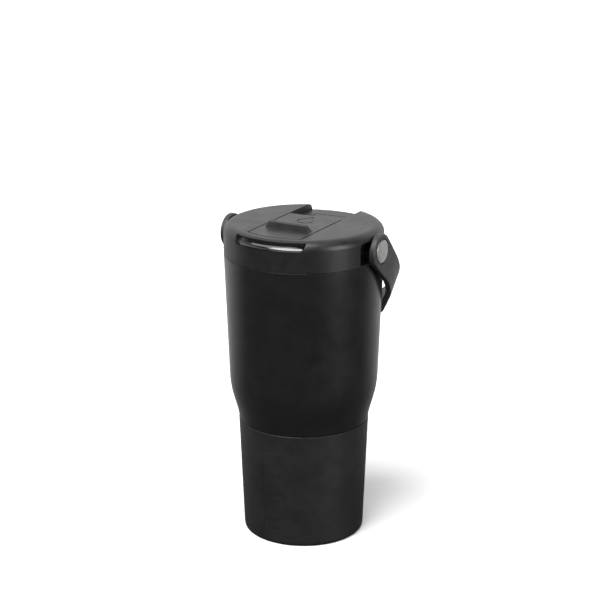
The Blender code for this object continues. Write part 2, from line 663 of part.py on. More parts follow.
def make_hinge_parts(steel, plastic, axis):
    """The hinge pin across the channel, and the cover let into the deck behind it."""
    half_length = tray_half_width - FIT
    finish_mesh("hinge_pin", rod(HINGE_PIN_RADIUS, -half_length, half_length, 20,
                                 y=HINGE_Y, z=hinge_z), steel, axis)
    front = HINGE_Y + trough_radius + TRAY_WALL
    cover = prism(rounded_box(COVER_HALF_WIDTH, front, front + COVER_LENGTH,
                              COVER_CORNER - FIT), deck_z - COVER_THICKNESS, deck_z)
    finish_mesh("hinge_cover", cover, plastic, axis)


def make_flip_plate(material, hinge):
    """The flip plate: slab, hinge barrel and thumb rib, with seats for the two stoppers."""
    slab = prism(channel_outline(PLATE_HALF_WIDTH, PLATE_FRONT_RADIUS, HINGE_Y),
                 plate_bottom_z, top_z)
    plate = finish_mesh("flip_plate", slab, material, hinge)
    barrel = rod(BARREL_RADIUS, -PLATE_HALF_WIDTH + FIT / 3, PLATE_HALF_WIDTH - FIT / 3,
                 y=HINGE_Y, z=hinge_z)
    rib = block((-RIB_BASE_HALF_WIDTH, RIB_FRONT_Y, top_z - PLATE_THICKNESS / 3),
                (RIB_BASE_HALF_WIDTH, RIB_FRONT_Y + RIB_BASE_DEPTH, top_z + RIB_HEIGHT))
    ridge_front = RIB_FRONT_Y + RIB_FRONT_LEAN
    for vert in rib.verts:
        if vert.co.z > top_z:
            vert.co.x = math.copysign(RIB_RIDGE_HALF_WIDTH, vert.co.x)
            at_front = vert.co.y < RIB_FRONT_Y + RIB_BASE_DEPTH / 2
            vert.co.y = ridge_front if at_front else ridge_front + RIB_RIDGE_DEPTH
    join_on(plate, finish_mesh("barrel", barrel), finish_mesh("thumb_rib", rib))

    seat_top = plate_bottom_z + STOPPER_FLANGE_THICKNESS + FIT
    spout_seat = prism(stadium(SPOUT_HALF_LENGTH + STOPPER_FLANGE + FIT,
                               SPOUT_HALF_WIDTH + STOPPER_FLANGE + FIT, SPOUT_Y),
                       plate_bottom_z - CUT, seat_top)
    vent_seat = prism(arc_points((0, VENT_Y), VENT_RADIUS + VENT_FLANGE + FIT, 0, 2 * math.pi,
                                 20)[:-1], plate_bottom_z - CUT, seat_top)
    pin_bore = rod(HINGE_PIN_RADIUS + FIT, -PLATE_HALF_WIDTH - CUT, PLATE_HALF_WIDTH + CUT,
                   20, y=HINGE_Y, z=hinge_z)
    cut_away(plate, finish_mesh("spout_seat", spout_seat), finish_mesh("vent_seat", vent_seat),
             finish_mesh("pin_bore", pin_bore))
    return plate


def make_stoppers(material, hinge):
    """Two silicone stoppers under the plate: one fills the spout, one the vent."""
    top = plate_bottom_z + STOPPER_FLANGE_THICKNESS
    flange_bottom = plate_bottom_z - PLATE_LIFT + FIT
    flange = prism(stadium(SPOUT_HALF_LENGTH + STOPPER_FLANGE, SPOUT_HALF_WIDTH + STOPPER_FLANGE,
                           SPOUT_Y), flange_bottom, top)
    plug = prism(stadium(SPOUT_HALF_LENGTH - STOPPER_FIT, SPOUT_HALF_WIDTH - STOPPER_FIT,
                         SPOUT_Y), platform_z - STOPPER_DEPTH, top - FIT)
    stopper = finish_mesh("spout_stopper", flange, material, hinge)
    join_on(stopper, finish_mesh("stopper_plug", plug))

    centre = (0, VENT_Y)
    turn = 2 * math.pi
    vent_flange = prism(arc_points(centre, VENT_RADIUS + VENT_FLANGE, 0, turn, 20)[:-1],
                        flange_bottom, top)
    vent_plug = prism(arc_points(centre, VENT_RADIUS - STOPPER_FIT, 0, turn, 20)[:-1],
                      platform_z - VENT_STOPPER_DEPTH, top - FIT)
    vent_stopper = finish_mesh("vent_stopper", vent_flange, material, hinge)
    join_on(vent_stopper, finish_mesh("vent_plug", vent_plug))


def make_pivot(side, label, steel, brass, axis):
    """A threaded insert in the core's boss, and the shoulder bolt that carries the bail."""
    turn_insert = [(boss_end_x, INSERT_RADIUS), (boss_end_x - INSERT_LENGTH, INSERT_RADIUS),
                   (boss_end_x - INSERT_LENGTH, BOLT_SHANK_RADIUS + FIT),
                   (boss_end_x, BOLT_SHANK_RADIUS + FIT)]
    finish_mesh("pivot_insert_" + label, turned_along_x(turn_insert, side, 20, pivot_z), brass,
                axis)
    shoulder_x = boss_end_x + FIT
    tip_x = boss_end_x - INSERT_LENGTH + FIT
    turn_bolt = [(head_outer_x, 0), (head_outer_x - 0.15 * mm, BOLT_HEAD_RADIUS - 0.5 * mm),
                 (head_outer_x - 0.4 * mm, BOLT_HEAD_RADIUS),
                 (head_inner_x, BOLT_HEAD_RADIUS), (head_inner_x, BOLT_SHOULDER_RADIUS),
                 (shoulder_x, BOLT_SHOULDER_RADIUS), (shoulder_x, BOLT_SHANK_RADIUS),
                 (tip_x, BOLT_SHANK_RADIUS), (tip_x, 0)]
    bolt = finish_mesh("pivot_bolt_" + label, turned_along_x(turn_bolt, side, z=pivot_z), steel,
                       axis)
    for way in (1, -1):
        notch = rod(SPANNER_NOTCH, side * (head_inner_x + FIT), side * (head_outer_x + CUT), 12,
                    z=pivot_z + way * BOLT_HEAD_RADIUS)
        name = "spanner_notch_%s_%s" % (label, "top" if way > 0 else "bottom")
        cut_away(bolt, finish_mesh(name, notch))


def bail_points():
    """The bail's centre line in its own plane: X across, Y away from the pivot."""
    reach = math.cos(BAIL_REST_ANGLE)
    arm_x = (ear_inner_x + ear_outer_x) / 2
    knee = (arm_x - KNEE_INSET, (lid_radius + KNEE_ROOM) / reach)
    end = (0, (lid_radius + FINGER_ROOM) / reach)
    points = [(arm_x, 0), (arm_x, ARM_LENGTH), knee, end, (-knee[0], knee[1]),
              (-arm_x, ARM_LENGTH), (-arm_x, 0)]
    radii = [ARM_FILLET, KNEE_FILLET, CROSSBAR_FILLET, KNEE_FILLET, ARM_FILLET]
    return rounded_path(points, radii)


def make_bail(material, pivot):
    """The moulded strap: a flat band bent round behind the mug, with an ear at each end."""
    path = bail_points()
    outer = []
    inner = []
    for i, point in enumerate(path):
        along = path[min(i + 1, len(path) - 1)] - path[max(i - 1, 0)]
        normal = Vector((along.y, -along.x)).normalized() * BAIL_THICKNESS / 2
        outer.append(point + normal)
        inner.append(point - normal)
    band = prism([tuple(point) for point in outer + inner[::-1]], -BAIL_WIDTH / 2,
                 BAIL_WIDTH / 2)
    strap = finish_mesh("handle_strap", band, material)
    strap.parent = pivot
    head_bore = BOLT_HEAD_RADIUS + 2 * FIT
    for side, label in ((1, "right"), (-1, "left")):
        ear = hang_on(finish_mesh("ear_" + label, rod(EAR_RADIUS, side * ear_inner_x,
                                                      side * ear_outer_x, 48)), pivot)
        bore = hang_on(finish_mesh("bush_bore_" + label,
                                   rod(bush_radius + FIT, side * (ear_inner_x - CUT),
                                       side * (ear_outer_x + CUT))), pivot)
        counterbore = hang_on(finish_mesh("head_bore_" + label,
                                          rod(head_bore, side * (head_inner_x - FIT),
                                              side * (ear_outer_x + CUT))), pivot)
        join_on(strap, ear)
        cut_away(strap, bore, counterbore)
    return strap


def hang_on(obj, parent):
    """Parents an object that is drawn in its parent's own frame."""
    obj.parent = parent
    return obj


def make_bushes(material, pivot):
    """Flanged bushes in the ears, turning on the bolts' shoulders."""
    bore = BOLT_SHOULDER_RADIUS + FIT
    end_x = head_inner_x - FIT
    for side, label in ((1, "right"), (-1, "left")):
        profile = [(end_x, bore), (end_x, bush_radius), (ear_inner_x - FIT, bush_radius),
                   (ear_inner_x - FIT, BUSH_FLANGE_RADIUS), (flange_inner_x, BUSH_FLANGE_RADIUS),
                   (flange_inner_x, bore)]
        bush = finish_mesh("pivot_bush_" + label, turned_along_x(profile, side), material)
        bush.parent = pivot


def make_empty(name, location, rotation_x=0.0):
    empty = bpy.data.objects.new(name, None)
    empty.empty_display_size = 0.01
    empty.location = location
    empty.rotation_euler = (rotation_x, 0, 0)
    bpy.context.scene.collection.objects.link(empty)
    return empty


def main():
    clear_scene()
    matte = make_material("matte_black_plastic", (0.022, 0.022, 0.023), 0.5)
    gloss = make_material("gloss_black_plastic", (0.006, 0.006, 0.007), 0.08)
    coat = make_material("black_powder_coat", (0.016, 0.016, 0.017), 0.55)
    rubber = make_material("boot_rubber", (0.014, 0.014, 0.015), 0.6)
    silicone = make_material("black_silicone", (0.02, 0.02, 0.02), 0.7)
    steel = make_material("stainless_steel", (0.62, 0.61, 0.6), 0.3, 1.0)
    brass = make_material("insert_brass", (0.75, 0.58, 0.28), 0.35, 1.0)
    glass = make_material("seal_glass", (0.3, 0.32, 0.3), 0.2)
    nylon = make_material("bush_nylon", (0.02, 0.02, 0.02), 0.4)

    make_boot(rubber)
    make_foot_pad(silicone)
    make_outer_shell(coat)
    make_inner_vessel(steel)
    make_vacuum_parts(steel, glass)

    lid_axis = make_empty("lid_axis", (0, 0, RIM_HEIGHT))
    make_lid_shell(matte, lid_axis)
    make_lid_core(gloss, lid_axis)
    make_gasket(silicone, lid_axis)
    make_liner(gloss, silicone, lid_axis)
    make_hinge_parts(steel, matte, lid_axis)
    make_pivot(1, "right", steel, brass, lid_axis)
    make_pivot(-1, "left", steel, brass, lid_axis)

    flip_hinge = make_empty("flip_hinge", (0, HINGE_Y, hinge_z))
    make_flip_plate(matte, flip_hinge)
    make_stoppers(silicone, flip_hinge)

    bail_pivot = make_empty("bail_pivot", (0, 0, pivot_z), -BAIL_REST_ANGLE)
    make_bail(matte, bail_pivot)
    make_bushes(nylon, bail_pivot)


main()
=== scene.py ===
import json
import math
import bmesh
import bpy
from mathutils import Matrix, Vector


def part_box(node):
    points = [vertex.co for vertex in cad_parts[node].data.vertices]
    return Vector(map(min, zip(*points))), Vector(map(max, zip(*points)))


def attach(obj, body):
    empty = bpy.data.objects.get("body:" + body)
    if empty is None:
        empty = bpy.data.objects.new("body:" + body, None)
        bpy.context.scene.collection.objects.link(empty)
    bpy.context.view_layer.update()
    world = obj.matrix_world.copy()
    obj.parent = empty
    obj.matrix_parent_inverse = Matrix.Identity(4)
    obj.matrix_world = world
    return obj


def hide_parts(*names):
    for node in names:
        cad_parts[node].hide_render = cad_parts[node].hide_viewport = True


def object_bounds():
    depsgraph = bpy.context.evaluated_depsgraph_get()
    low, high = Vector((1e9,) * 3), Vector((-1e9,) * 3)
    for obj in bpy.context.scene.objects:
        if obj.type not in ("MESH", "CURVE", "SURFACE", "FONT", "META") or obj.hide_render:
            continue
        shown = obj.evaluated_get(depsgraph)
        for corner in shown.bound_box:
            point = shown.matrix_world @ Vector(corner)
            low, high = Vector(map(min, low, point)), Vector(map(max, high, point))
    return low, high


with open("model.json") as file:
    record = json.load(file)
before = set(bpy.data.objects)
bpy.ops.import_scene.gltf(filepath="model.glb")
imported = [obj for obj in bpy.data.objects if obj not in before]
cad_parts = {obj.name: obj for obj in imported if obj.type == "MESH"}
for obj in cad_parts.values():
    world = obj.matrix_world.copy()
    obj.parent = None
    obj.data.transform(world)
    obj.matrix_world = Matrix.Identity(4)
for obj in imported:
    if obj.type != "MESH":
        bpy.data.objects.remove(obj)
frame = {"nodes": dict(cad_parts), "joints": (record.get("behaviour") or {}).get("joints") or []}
cadLow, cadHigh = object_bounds()

mm = 0.001
fullTurn = 2 * math.pi
front = -math.pi / 2  # the drinking side, as an angle about Z
joints = {joint["name"]: joint for joint in frame["joints"]}
print("frame loaded:", len(frame["nodes"]), "nodes")


def lowMm(node):
    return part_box(node)[0] / mm


def highMm(node):
    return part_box(node)[1] / mm


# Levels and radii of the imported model, in mm
bootTop = highMm("base_boot").z
bootRadius = highMm("base_boot").x
rimRadius = highMm("outer_shell").x
rimHeight = highMm("outer_shell").z
lidSeat = lowMm("lid_shell").z
lidTop = highMm("lid_shell").z
plugBottom = lowMm("lid_core").z
plateHalf = highMm("flip_plate").x
plateFront = -lowMm("flip_plate").y
ribTop = highMm("flip_plate").z
hingeY = joints["flip_open"]["pos_m"][1] / mm
hingeZ = joints["flip_open"]["pos_m"][2] / mm
pivotZ = joints["bail_swing"]["pos_m"][2] / mm
boltFace = highMm("pivot_bolt_right").x

past = 2.0  # mm that a cutter reaches beyond the piece it cuts
bite = 1.0  # mm that two joined shapes share
mergeWithin = 2e-6
flatWithin = math.radians(0.3)


# Shaping helpers
def flatFace(points, rounds, place):
    # one flat face from a few corners in mm; rounds is {radius: corner numbers}
    shape = bmesh.new()
    corners = [shape.verts.new(Vector(place(a, b)) * mm) for a, b in points]
    shape.faces.new(corners)
    for radius, numbers in rounds.items():
        bmesh.ops.bevel(shape, geom=[corners[n] for n in numbers], offset=radius * mm,
                        offset_type="OFFSET", affect="VERTICES",
                        segments=max(4, int(radius * 2.5)), profile=0.5, material=-1)
    return shape


def onSide(a, b):
    return (a, 0, b)


def onPlan(a, b):
    return (a, b, 0)


def onEnd(a, b):
    return (0, a, b)


def cleaned(shape):
    bmesh.ops.remove_doubles(shape, verts=shape.verts, dist=1e-7)
    bmesh.ops.recalc_face_normals(shape, faces=shape.faces)
    return shape


def turned(points, rounds=None, steps=180):
    # a closed (radius, height) outline turned about Z
    shape = flatFace(points, rounds or {}, onSide)
    bmesh.ops.delete(shape, geom=shape.faces[:], context="FACES_ONLY")
    axisEdges = [e for e in shape.edges if max(v.co.x for v in e.verts) < 1e-7]
    bmesh.ops.delete(shape, geom=axisEdges, context="EDGES")
    bmesh.ops.spin(shape, geom=shape.verts[:] + shape.edges[:], cent=(0, 0, 0), axis=(0, 0, 1),
                   angle=fullTurn, steps=steps, use_merge=True, use_duplicate=False)
    return cleaned(shape)


def swept(points, start, sweep, steps, climb=0.0, rounds=None):
    # a filled (radius, height) outline swept through part of a turn, climbing as it goes
    shape = flatFace(points, rounds or {}, onSide)
    bmesh.ops.rotate(shape, verts=shape.verts, cent=(0, 0, 0),
                     matrix=Matrix.Rotation(start, 3, "Z"))
    bmesh.ops.spin(shape, geom=shape.verts[:] + shape.edges[:] + shape.faces[:],
                   cent=(0, 0, 0), axis=(0, 0, 1), dvec=(0, 0, climb * mm / steps),
                   angle=sweep, steps=steps, use_duplicate=False)
    return cleaned(shape)


def extruded(shape, way):
    grown = bmesh.ops.extrude_face_region(shape, geom=shape.faces[:])
    moved = [item for item in grown["geom"] if isinstance(item, bmesh.types.BMVert)]
    bmesh.ops.translate(shape, verts=moved, vec=Vector(way) * mm)
    return cleaned(shape)


def upright(points, bottom, top, rounds=None):
    # an (x, y) outline between two heights
    shape = flatFace(points, rounds or {}, onPlan)
    bmesh.ops.translate(shape, verts=shape.verts, vec=(0, 0, bottom * mm))
    return extruded(shape, (0, 0, top - bottom))


def crosswise(points, left, right, rounds=None):
    # a (y, z) outline between two places along X
    shape = flatFace(points, rounds or {}, onEnd)
    bmesh.ops.translate(shape, verts=shape.verts, vec=(left * mm, 0, 0))
    return extruded(shape, (right - left, 0, 0))


def rectangle(left, right, near, far):
    return [(left, near), (right, near), (right, far), (left, far)]


def box(low, high):
    return upright(rectangle(low[0], high[0], low[1], high[1]), low[2], high[2])


def cylinder(radius, length, place, steps):
    shape = bmesh.new()
    bmesh.ops.create_cone(shape, cap_ends=True, segments=steps, radius1=radius * mm,
                          radius2=radius * mm, depth=length * mm, matrix=place)
    return shape


def rod(radius, left, right, y=0.0, z=0.0, steps=64):
    # a cylinder along X
    place = Matrix.Translation(Vector(((left + right) / 2, y, z)) * mm)
    return cylinder(radius, abs(right - left),
                    place @ Matrix.Rotation(math.pi / 2, 4, "Y"), steps)


def post(radius, bottom, top, x=0.0, y=0.0, steps=48):
    # a cylinder along Z
    place = Matrix.Translation(Vector((x, y, (bottom + top) / 2)) * mm)
    return cylinder(radius, top - bottom, place, steps)


def outward(side, near, far):
    # two places along X on the right (1) or the left (-1), the lower first
    return sorted((side * near, side * far))


def slot(halfLength, halfWidth, y, bottom, top):
    # a slot with round ends, long in X
    corners = rectangle(-halfLength, halfLength, y - halfWidth, y + halfWidth)
    return upright(corners, bottom, top, {halfWidth * 0.98: (0, 1, 2, 3)})


def arcPoints(radius, start, end, steps):
    return [(radius * math.cos(start + (end - start) * i / steps),
             radius * math.sin(start + (end - start) * i / steps)) for i in range(steps + 1)]


def channelPlan(half, radius, back):
    # straight sides and back, and a front edge round the lid's axis
    corner = math.asin(half / radius)
    return arcPoints(radius, front - corner, front + corner, 32) + [(half, back), (-half, back)]


def easedCurve(start, first, second, end, steps):
    # points on a cubic curve, its start left out
    points = []
    for i in range(1, steps + 1):
        t = i / steps
        weights = ((1 - t) ** 3, 3 * (1 - t) ** 2 * t, 3 * (1 - t) * t * t, t ** 3)
        points.append(tuple(sum(w * p[k] for w, p in zip(weights, (start, first, second, end)))
                            for k in range(2)))
    return points


def turnedAlongX(points, side, z, rounds=None, steps=96):
    # an (x, radius) outline turned about X, on the right (1) or the left (-1)
    shape = turned([(radius, x) for x, radius in points], rounds, steps)
    bmesh.ops.rotate(shape, verts=shape.verts, cent=(0, 0, 0),
                     matrix=Matrix.Rotation(math.pi / 2, 3, "Y"))
    bmesh.ops.scale(shape, verts=shape.verts, vec=(side, 1, 1))
    bmesh.ops.translate(shape, verts=shape.verts, vec=(0, 0, z * mm))
    bmesh.ops.recalc_face_normals(shape, faces=shape.faces)
    return shape


def asObject(name, shape):
    data = bpy.data.meshes.new(name)
    shape.to_mesh(data)
    shape.free()
    piece = bpy.data.objects.new(name, data)
    bpy.context.scene.collection.objects.link(piece)
    return piece


def meshOf(piece):
    shape = bmesh.new()
    shape.from_mesh(piece.data)
    return shape


def takenBack(helper):
    # a helper's mesh, once the helper has left the scene
    shape = meshOf(helper)
    bpy.data.objects.remove(helper)
    return shape


def applyModifiers(piece):
    graph = bpy.context.evaluated_depsgraph_get()
    made = bpy.data.meshes.new_from_object(piece.evaluated_get(graph), depsgraph=graph)
    piece.modifiers.clear()
    old = piece.data
    piece.data = made
    bpy.data.meshes.remove(old)


def combine(piece, operation, *shapes):
    tools = [asObject("tool", shape) for shape in shapes]
    for tool in tools:
        modifier = piece.modifiers.new("combine", "BOOLEAN")
        modifier.operation = operation
        modifier.solver = "EXACT"
        modifier.object = tool
    applyModifiers(piece)
    for tool in tools:
        bpy.data.objects.remove(tool)


def soften(piece, width, segments=3, above=28, wanted=None):
    # rounds the hard edges; wanted(edge) may choose among them
    shape = meshOf(piece)
    bmesh.ops.remove_doubles(shape, verts=shape.verts, dist=mergeWithin)
    bmesh.ops.dissolve_limit(shape, angle_limit=flatWithin, verts=shape.verts,
                             edges=shape.edges, use_dissolve_boundaries=False)
    rubbed = shape.faces.layers.float.get("rubbed") or shape.faces.layers.float.new("rubbed")
    limit = math.radians(above)
    edges = [e for e in shape.edges if len(e.link_faces) == 2 and e.calc_face_angle() > limit
             and (wanted is None or wanted(e))]
    made = bmesh.ops.bevel(shape, geom=edges, offset=width * mm, offset_type="OFFSET",
                           affect="EDGES", segments=segments, profile=0.5, material=-1,
                           clamp_overlap=True)
    for face in made["faces"]:
        face[rubbed] = 1.0  # where hands and bags wear the finish
    cleaned(shape)
    shape.to_mesh(piece.data)
    shape.free()


def splitBigFaces(piece):
    # faces of more than four corners shade badly, so they become triangles
    shape = meshOf(piece)
    big = [face for face in shape.faces if len(face.verts) > 4]
    bmesh.ops.triangulate(shape, faces=big, quad_method="BEAUTY", ngon_method="BEAUTY")
    shape.to_mesh(piece.data)
    shape.free()


def finishPiece(piece, material, body, node, sharpAt=35):
    # smooth shading with flat faces kept flat, its material, its body and its CAD node
    splitBigFaces(piece)
    piece.data.materials.clear()
    piece.data.materials.append(material)
    piece.data.shade_smooth()
    piece.data.set_sharp_from_angle(angle=math.radians(sharpAt))
    weighted = piece.modifiers.new("flat faces stay flat", "WEIGHTED_NORMAL")
    weighted.keep_sharp = True
    weighted.weight = 80
    applyModifiers(piece)
    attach(piece, body)
    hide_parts(node)
    print("made", piece.name, len(piece.data.polygons), "faces")
    return piece


# Shared shader groups
def newGroup(name, inputs, outputs):
    # an input without a number is a vector, and each output is a number
    group = bpy.data.node_groups.new(name, "ShaderNodeTree")
    for label, value in inputs.items():
        kind = "NodeSocketVector" if value is None else "NodeSocketFloat"
        item = group.interface.new_socket(label, in_out="INPUT", socket_type=kind)
        if value is not None:
            item.default_value = value
    for label in outputs:
        group.interface.new_socket(label, in_out="OUTPUT", socket_type="NodeSocketFloat")
    return group, group.nodes.new("NodeGroupInput"), group.nodes.new("NodeGroupOutput")


def node(tree, kind, **settings):
    made = tree.nodes.new(kind)
    for key, value in settings.items():
        setattr(made, key, value)
    return made


def link(tree, source, target):
    tree.links.new(source, target)


def feed(tree, value, socket):
    # sets a number or a colour, and links anything else
    if isinstance(value, (int, float, tuple)):
        socket.default_value = value
    else:
        link(tree, value, socket)


def partsOf(tree, vector):
    parts = node(tree, "ShaderNodeSeparateXYZ")
    link(tree, vector, parts.inputs["Vector"])
    return parts.outputs


def math2(tree, operation, first, second, clamp=False):
    made = node(tree, "ShaderNodeMath", operation=operation, use_clamp=clamp)
    feed(tree, first, made.inputs[0])
    feed(tree, second, made.inputs[1])
    return made.outputs[0]


def noise(tree, vector, scale, detail=3.0, roughness=0.55, distortion=0.0):
    made = node(tree, "ShaderNodeTexNoise")
    made.inputs["Detail"].default_value = detail
    made.inputs["Roughness"].default_value = roughness
    made.inputs["Distortion"].default_value = distortion
    link(tree, vector, made.inputs["Vector"])
    feed(tree, scale, made.inputs["Scale"])
    return made.outputs["Fac"]


def remap(tree, value, low, high, newLow=0.0, newHigh=1.0):
    made = node(tree, "ShaderNodeMapRange", clamp=True)
    made.inputs["From Min"].default_value = low
    made.inputs["From Max"].default_value = high
    made.inputs["To Min"].default_value = newLow
    made.inputs["To Max"].default_value = newHigh
    link(tree, value, made.inputs["Value"])
    return made.outputs["Result"]


def makeMouldedGrain():
    # fine pits and a soft waviness for the bump, and a slow mottle for colour and gloss
    group, given, out = newGroup(
        "mouldedGrain", {"Vector": None, "Grain Scale": 2600.0, "Mottle Scale": 70.0,
                         "Waviness": 0.2}, ["Height", "Mottle"])
    place = given.outputs["Vector"]
    pits = noise(group, place, given.outputs["Grain Scale"], 2.0, 0.6)
    waves = noise(group, place, given.outputs["Mottle Scale"], 2.0, 0.4)
    cells = node(group, "ShaderNodeTexVoronoi", feature="SMOOTH_F1")
    link(group, place, cells.inputs["Vector"])
    link(group, given.outputs["Grain Scale"], cells.inputs["Scale"])
    grain = math2(group, "ADD", pits, math2(group, "MULTIPLY", cells.outputs["Distance"], 0.5))
    wavy = math2(group, "MULTIPLY", waves, given.outputs["Waviness"])
    link(group, math2(group, "ADD", grain, wavy), out.inputs["Height"])
    slow = noise(group, place, given.outputs["Mottle Scale"], 5.0, 0.65, 0.4)
    link(group, remap(group, slow, 0.34, 0.68), out.inputs["Mottle"])
    return group


def makeEdgeWear():
    # breaks the rubbed edges up with a noise
    group, given, out = newGroup(
        "edgeWear", {"Vector": None, "Break Up Scale": 420.0, "Edge": 0.0, "Amount": 0.5},
        ["Wear"])
    patches = remap(group, noise(group, given.outputs["Vector"],
                                 given.outputs["Break Up Scale"], 4.0, 0.6), 0.38, 0.66)
    rubbed = math2(group, "MULTIPLY", given.outputs["Edge"], patches)
    link(group, math2(group, "MULTIPLY", rubbed, given.outputs["Amount"], True),
         out.inputs["Wear"])
    return group


def makeDustFall():
    # specks and a film on faces that look up
    group, given, out = newGroup(
        "dustFall", {"Vector": None, "Normal": None, "Speck Scale": 1500.0, "Amount": 0.2},
        ["Dust"])
    parts = partsOf(group, given.outputs["Normal"])
    facing = remap(group, parts["Z"], -0.2, 0.9, 0.12, 1.0)
    specks = remap(group, noise(group, given.outputs["Vector"], given.outputs["Speck Scale"],
                                1.0, 0.5), 0.66, 0.76)
    film = remap(group, noise(group, given.outputs["Vector"], 110.0, 4.0, 0.6), 0.4, 0.75,
                 0.0, 0.35)
    both = math2(group, "MAXIMUM", specks, film)
    link(group, math2(group, "MULTIPLY", math2(group, "MULTIPLY", both, facing),
                      given.outputs["Amount"], True), out.inputs["Dust"])
    return group


def makeBrushLines():
    # tool lines round an axis: fine, broken streaks for the bump and the tone
    group, given, out = newGroup(
        "brushLines", {"Vector": None, "Line Scale": 3000.0, "Stretch": 0.02},
        ["Height", "Streak"])
    parts = partsOf(group, given.outputs["Vector"])
    around = math2(group, "ARCTAN2", parts["Y"], parts["X"])
    squares = math2(group, "ADD", math2(group, "MULTIPLY", parts["X"], parts["X"]),
                    math2(group, "MULTIPLY", parts["Y"], parts["Y"]))
    radius = math2(group, "SQRT", squares, 0.0)
    turn = math2(group, "MULTIPLY", math2(group, "COSINE", around, 0.0),
                 given.outputs["Stretch"])
    joined = node(group, "ShaderNodeCombineXYZ")
    link(group, turn, joined.inputs["X"])
    link(group, radius, joined.inputs["Y"])
    link(group, parts["Z"], joined.inputs["Z"])
    lines = noise(group, joined.outputs["Vector"], given.outputs["Line Scale"], 3.0, 0.7)
    link(group, lines, out.inputs["Height"])
    link(group, remap(group, lines, 0.35, 0.65), out.inputs["Streak"])
    return group


def makeSmears():
    # finger marks and wiping streaks for glossy surfaces
    group, given, out = newGroup("fingerSmears", {"Vector": None, "Scale": 90.0},
                                ["Smear"])
    broad = remap(group, noise(group, given.outputs["Vector"], given.outputs["Scale"], 4.0,
                               0.6, 1.2), 0.45, 0.72)
    fine = remap(group, noise(group, given.outputs["Vector"], 1400.0, 2.0, 0.6), 0.3, 0.8,
                 0.4, 1.0)
    link(group, math2(group, "MULTIPLY", broad, fine), out.inputs["Smear"])
    return group


grainGroup = makeMouldedGrain()
wearGroup = makeEdgeWear()
dustGroup = makeDustFall()
linesGroup = makeBrushLines()
smearGroup = makeSmears()
print("shader groups ready")


# Finishes
def placeGroup(tree, group, vector, **values):
    made = node(tree, "ShaderNodeGroup", node_tree=group)
    link(tree, vector, made.inputs["Vector"])
    for label, value in values.items():
        made.inputs[label.replace("_", " ")].default_value = value
    return made


def blendColour(tree, factor, first, second):
    made = node(tree, "ShaderNodeMix", data_type="RGBA", blend_type="MIX")
    link(tree, factor, made.inputs["Factor"])
    for value, socket in ((first, made.inputs[6]), (second, made.inputs[7])):
        feed(tree, (*value, 1.0) if isinstance(value, tuple) else value, socket)
    return made.outputs[2]


def blendValue(tree, factor, first, second):
    made = node(tree, "ShaderNodeMix", data_type="FLOAT")
    link(tree, factor, made.inputs["Factor"])
    feed(tree, first, made.inputs[2])
    feed(tree, second, made.inputs[3])
    return made.outputs[0]


plainLook = {  # what a look has where it says nothing else
    "specular": 0.5, "metal": 0.0, "centre": (0, 0, 0), "turn": (0, 0, 0), "mottle": 70.0,
    "waves": 0.2, "stretch": 0.02, "smearScale": 90.0, "wear": 0.3, "wornGloss": 0.35,
    "bevelled": True, "dust": 0.15, "dustTone": (0.32, 0.31, 0.29), "dustGloss": 0.8,
    "bump": 0.5, "sharpest": (0.515, 0.60)}


def makeFinish(name, ownLook):
    # deep and pale tones, gloss range, grain, wear, dust, smears and tool lines from one look
    look = {**plainLook, **ownLook}
    material = bpy.data.materials.new(name)
    material.use_nodes = True
    tree = material.node_tree
    shader = tree.nodes["Principled BSDF"]
    shader.inputs["Specular IOR Level"].default_value = look["specular"]
    shader.inputs["Metallic"].default_value = look["metal"]
    where = node(tree, "ShaderNodeTexCoord")
    mapping = node(tree, "ShaderNodeMapping")
    mapping.inputs["Location"].default_value = look["centre"]
    mapping.inputs["Rotation"].default_value = look["turn"]
    link(tree, where.outputs["Object"], mapping.inputs["Vector"])
    place = mapping.outputs["Vector"]

    grain = placeGroup(tree, grainGroup, place, Grain_Scale=look["grain"],
                       Mottle_Scale=look["mottle"], Waviness=look["waves"])
    tone = grain.outputs["Mottle"]
    height = grain.outputs["Height"]
    if "lines" in look:
        lines = placeGroup(tree, linesGroup, place, Line_Scale=look["lines"],
                           Stretch=look["stretch"])
        tone = math2(tree, "ADD", math2(tree, "MULTIPLY", tone, 1 - look["streaks"]),
                     math2(tree, "MULTIPLY", lines.outputs["Streak"], look["streaks"]))
        height = math2(tree, "ADD", math2(tree, "MULTIPLY", height, 0.25),
                       lines.outputs["Height"])
    colour = blendColour(tree, tone, look["deep"], look["pale"])
    gloss = remap(tree, tone, 0.0, 1.0, look["smooth"], look["rough"])
    if "smear" in look:
        smear = placeGroup(tree, smearGroup, place, Scale=look["smearScale"])
        gloss = blendValue(tree, smear.outputs["Smear"], gloss, look["smear"])
    wear = placeGroup(tree, wearGroup, place, Amount=look["wear"])
    if look["bevelled"]:
        edge = node(tree, "ShaderNodeAttribute", attribute_name="rubbed").outputs["Fac"]
    else:
        geometry = node(tree, "ShaderNodeNewGeometry")
        edge = remap(tree, geometry.outputs["Pointiness"], *look["sharpest"])
    link(tree, edge, wear.inputs["Edge"])
    colour = blendColour(tree, wear.outputs["Wear"], colour, look["worn"])
    gloss = blendValue(tree, wear.outputs["Wear"], gloss, look["wornGloss"])
    dust = placeGroup(tree, dustGroup, place, Amount=look["dust"])
    link(tree, where.outputs["Normal"], dust.inputs["Normal"])
    colour = blendColour(tree, dust.outputs["Dust"], colour, look["dustTone"])
    gloss = blendValue(tree, dust.outputs["Dust"], gloss, look["dustGloss"])
    link(tree, colour, shader.inputs["Base Color"])
    link(tree, gloss, shader.inputs["Roughness"])
    bump = node(tree, "ShaderNodeBump")
    bump.inputs["Strength"].default_value = look["bump"]
    bump.inputs["Distance"].default_value = look["depth"] * mm
    link(tree, height, bump.inputs["Height"])
    link(tree, bump.outputs["Normal"], shader.inputs["Normal"])
    return material


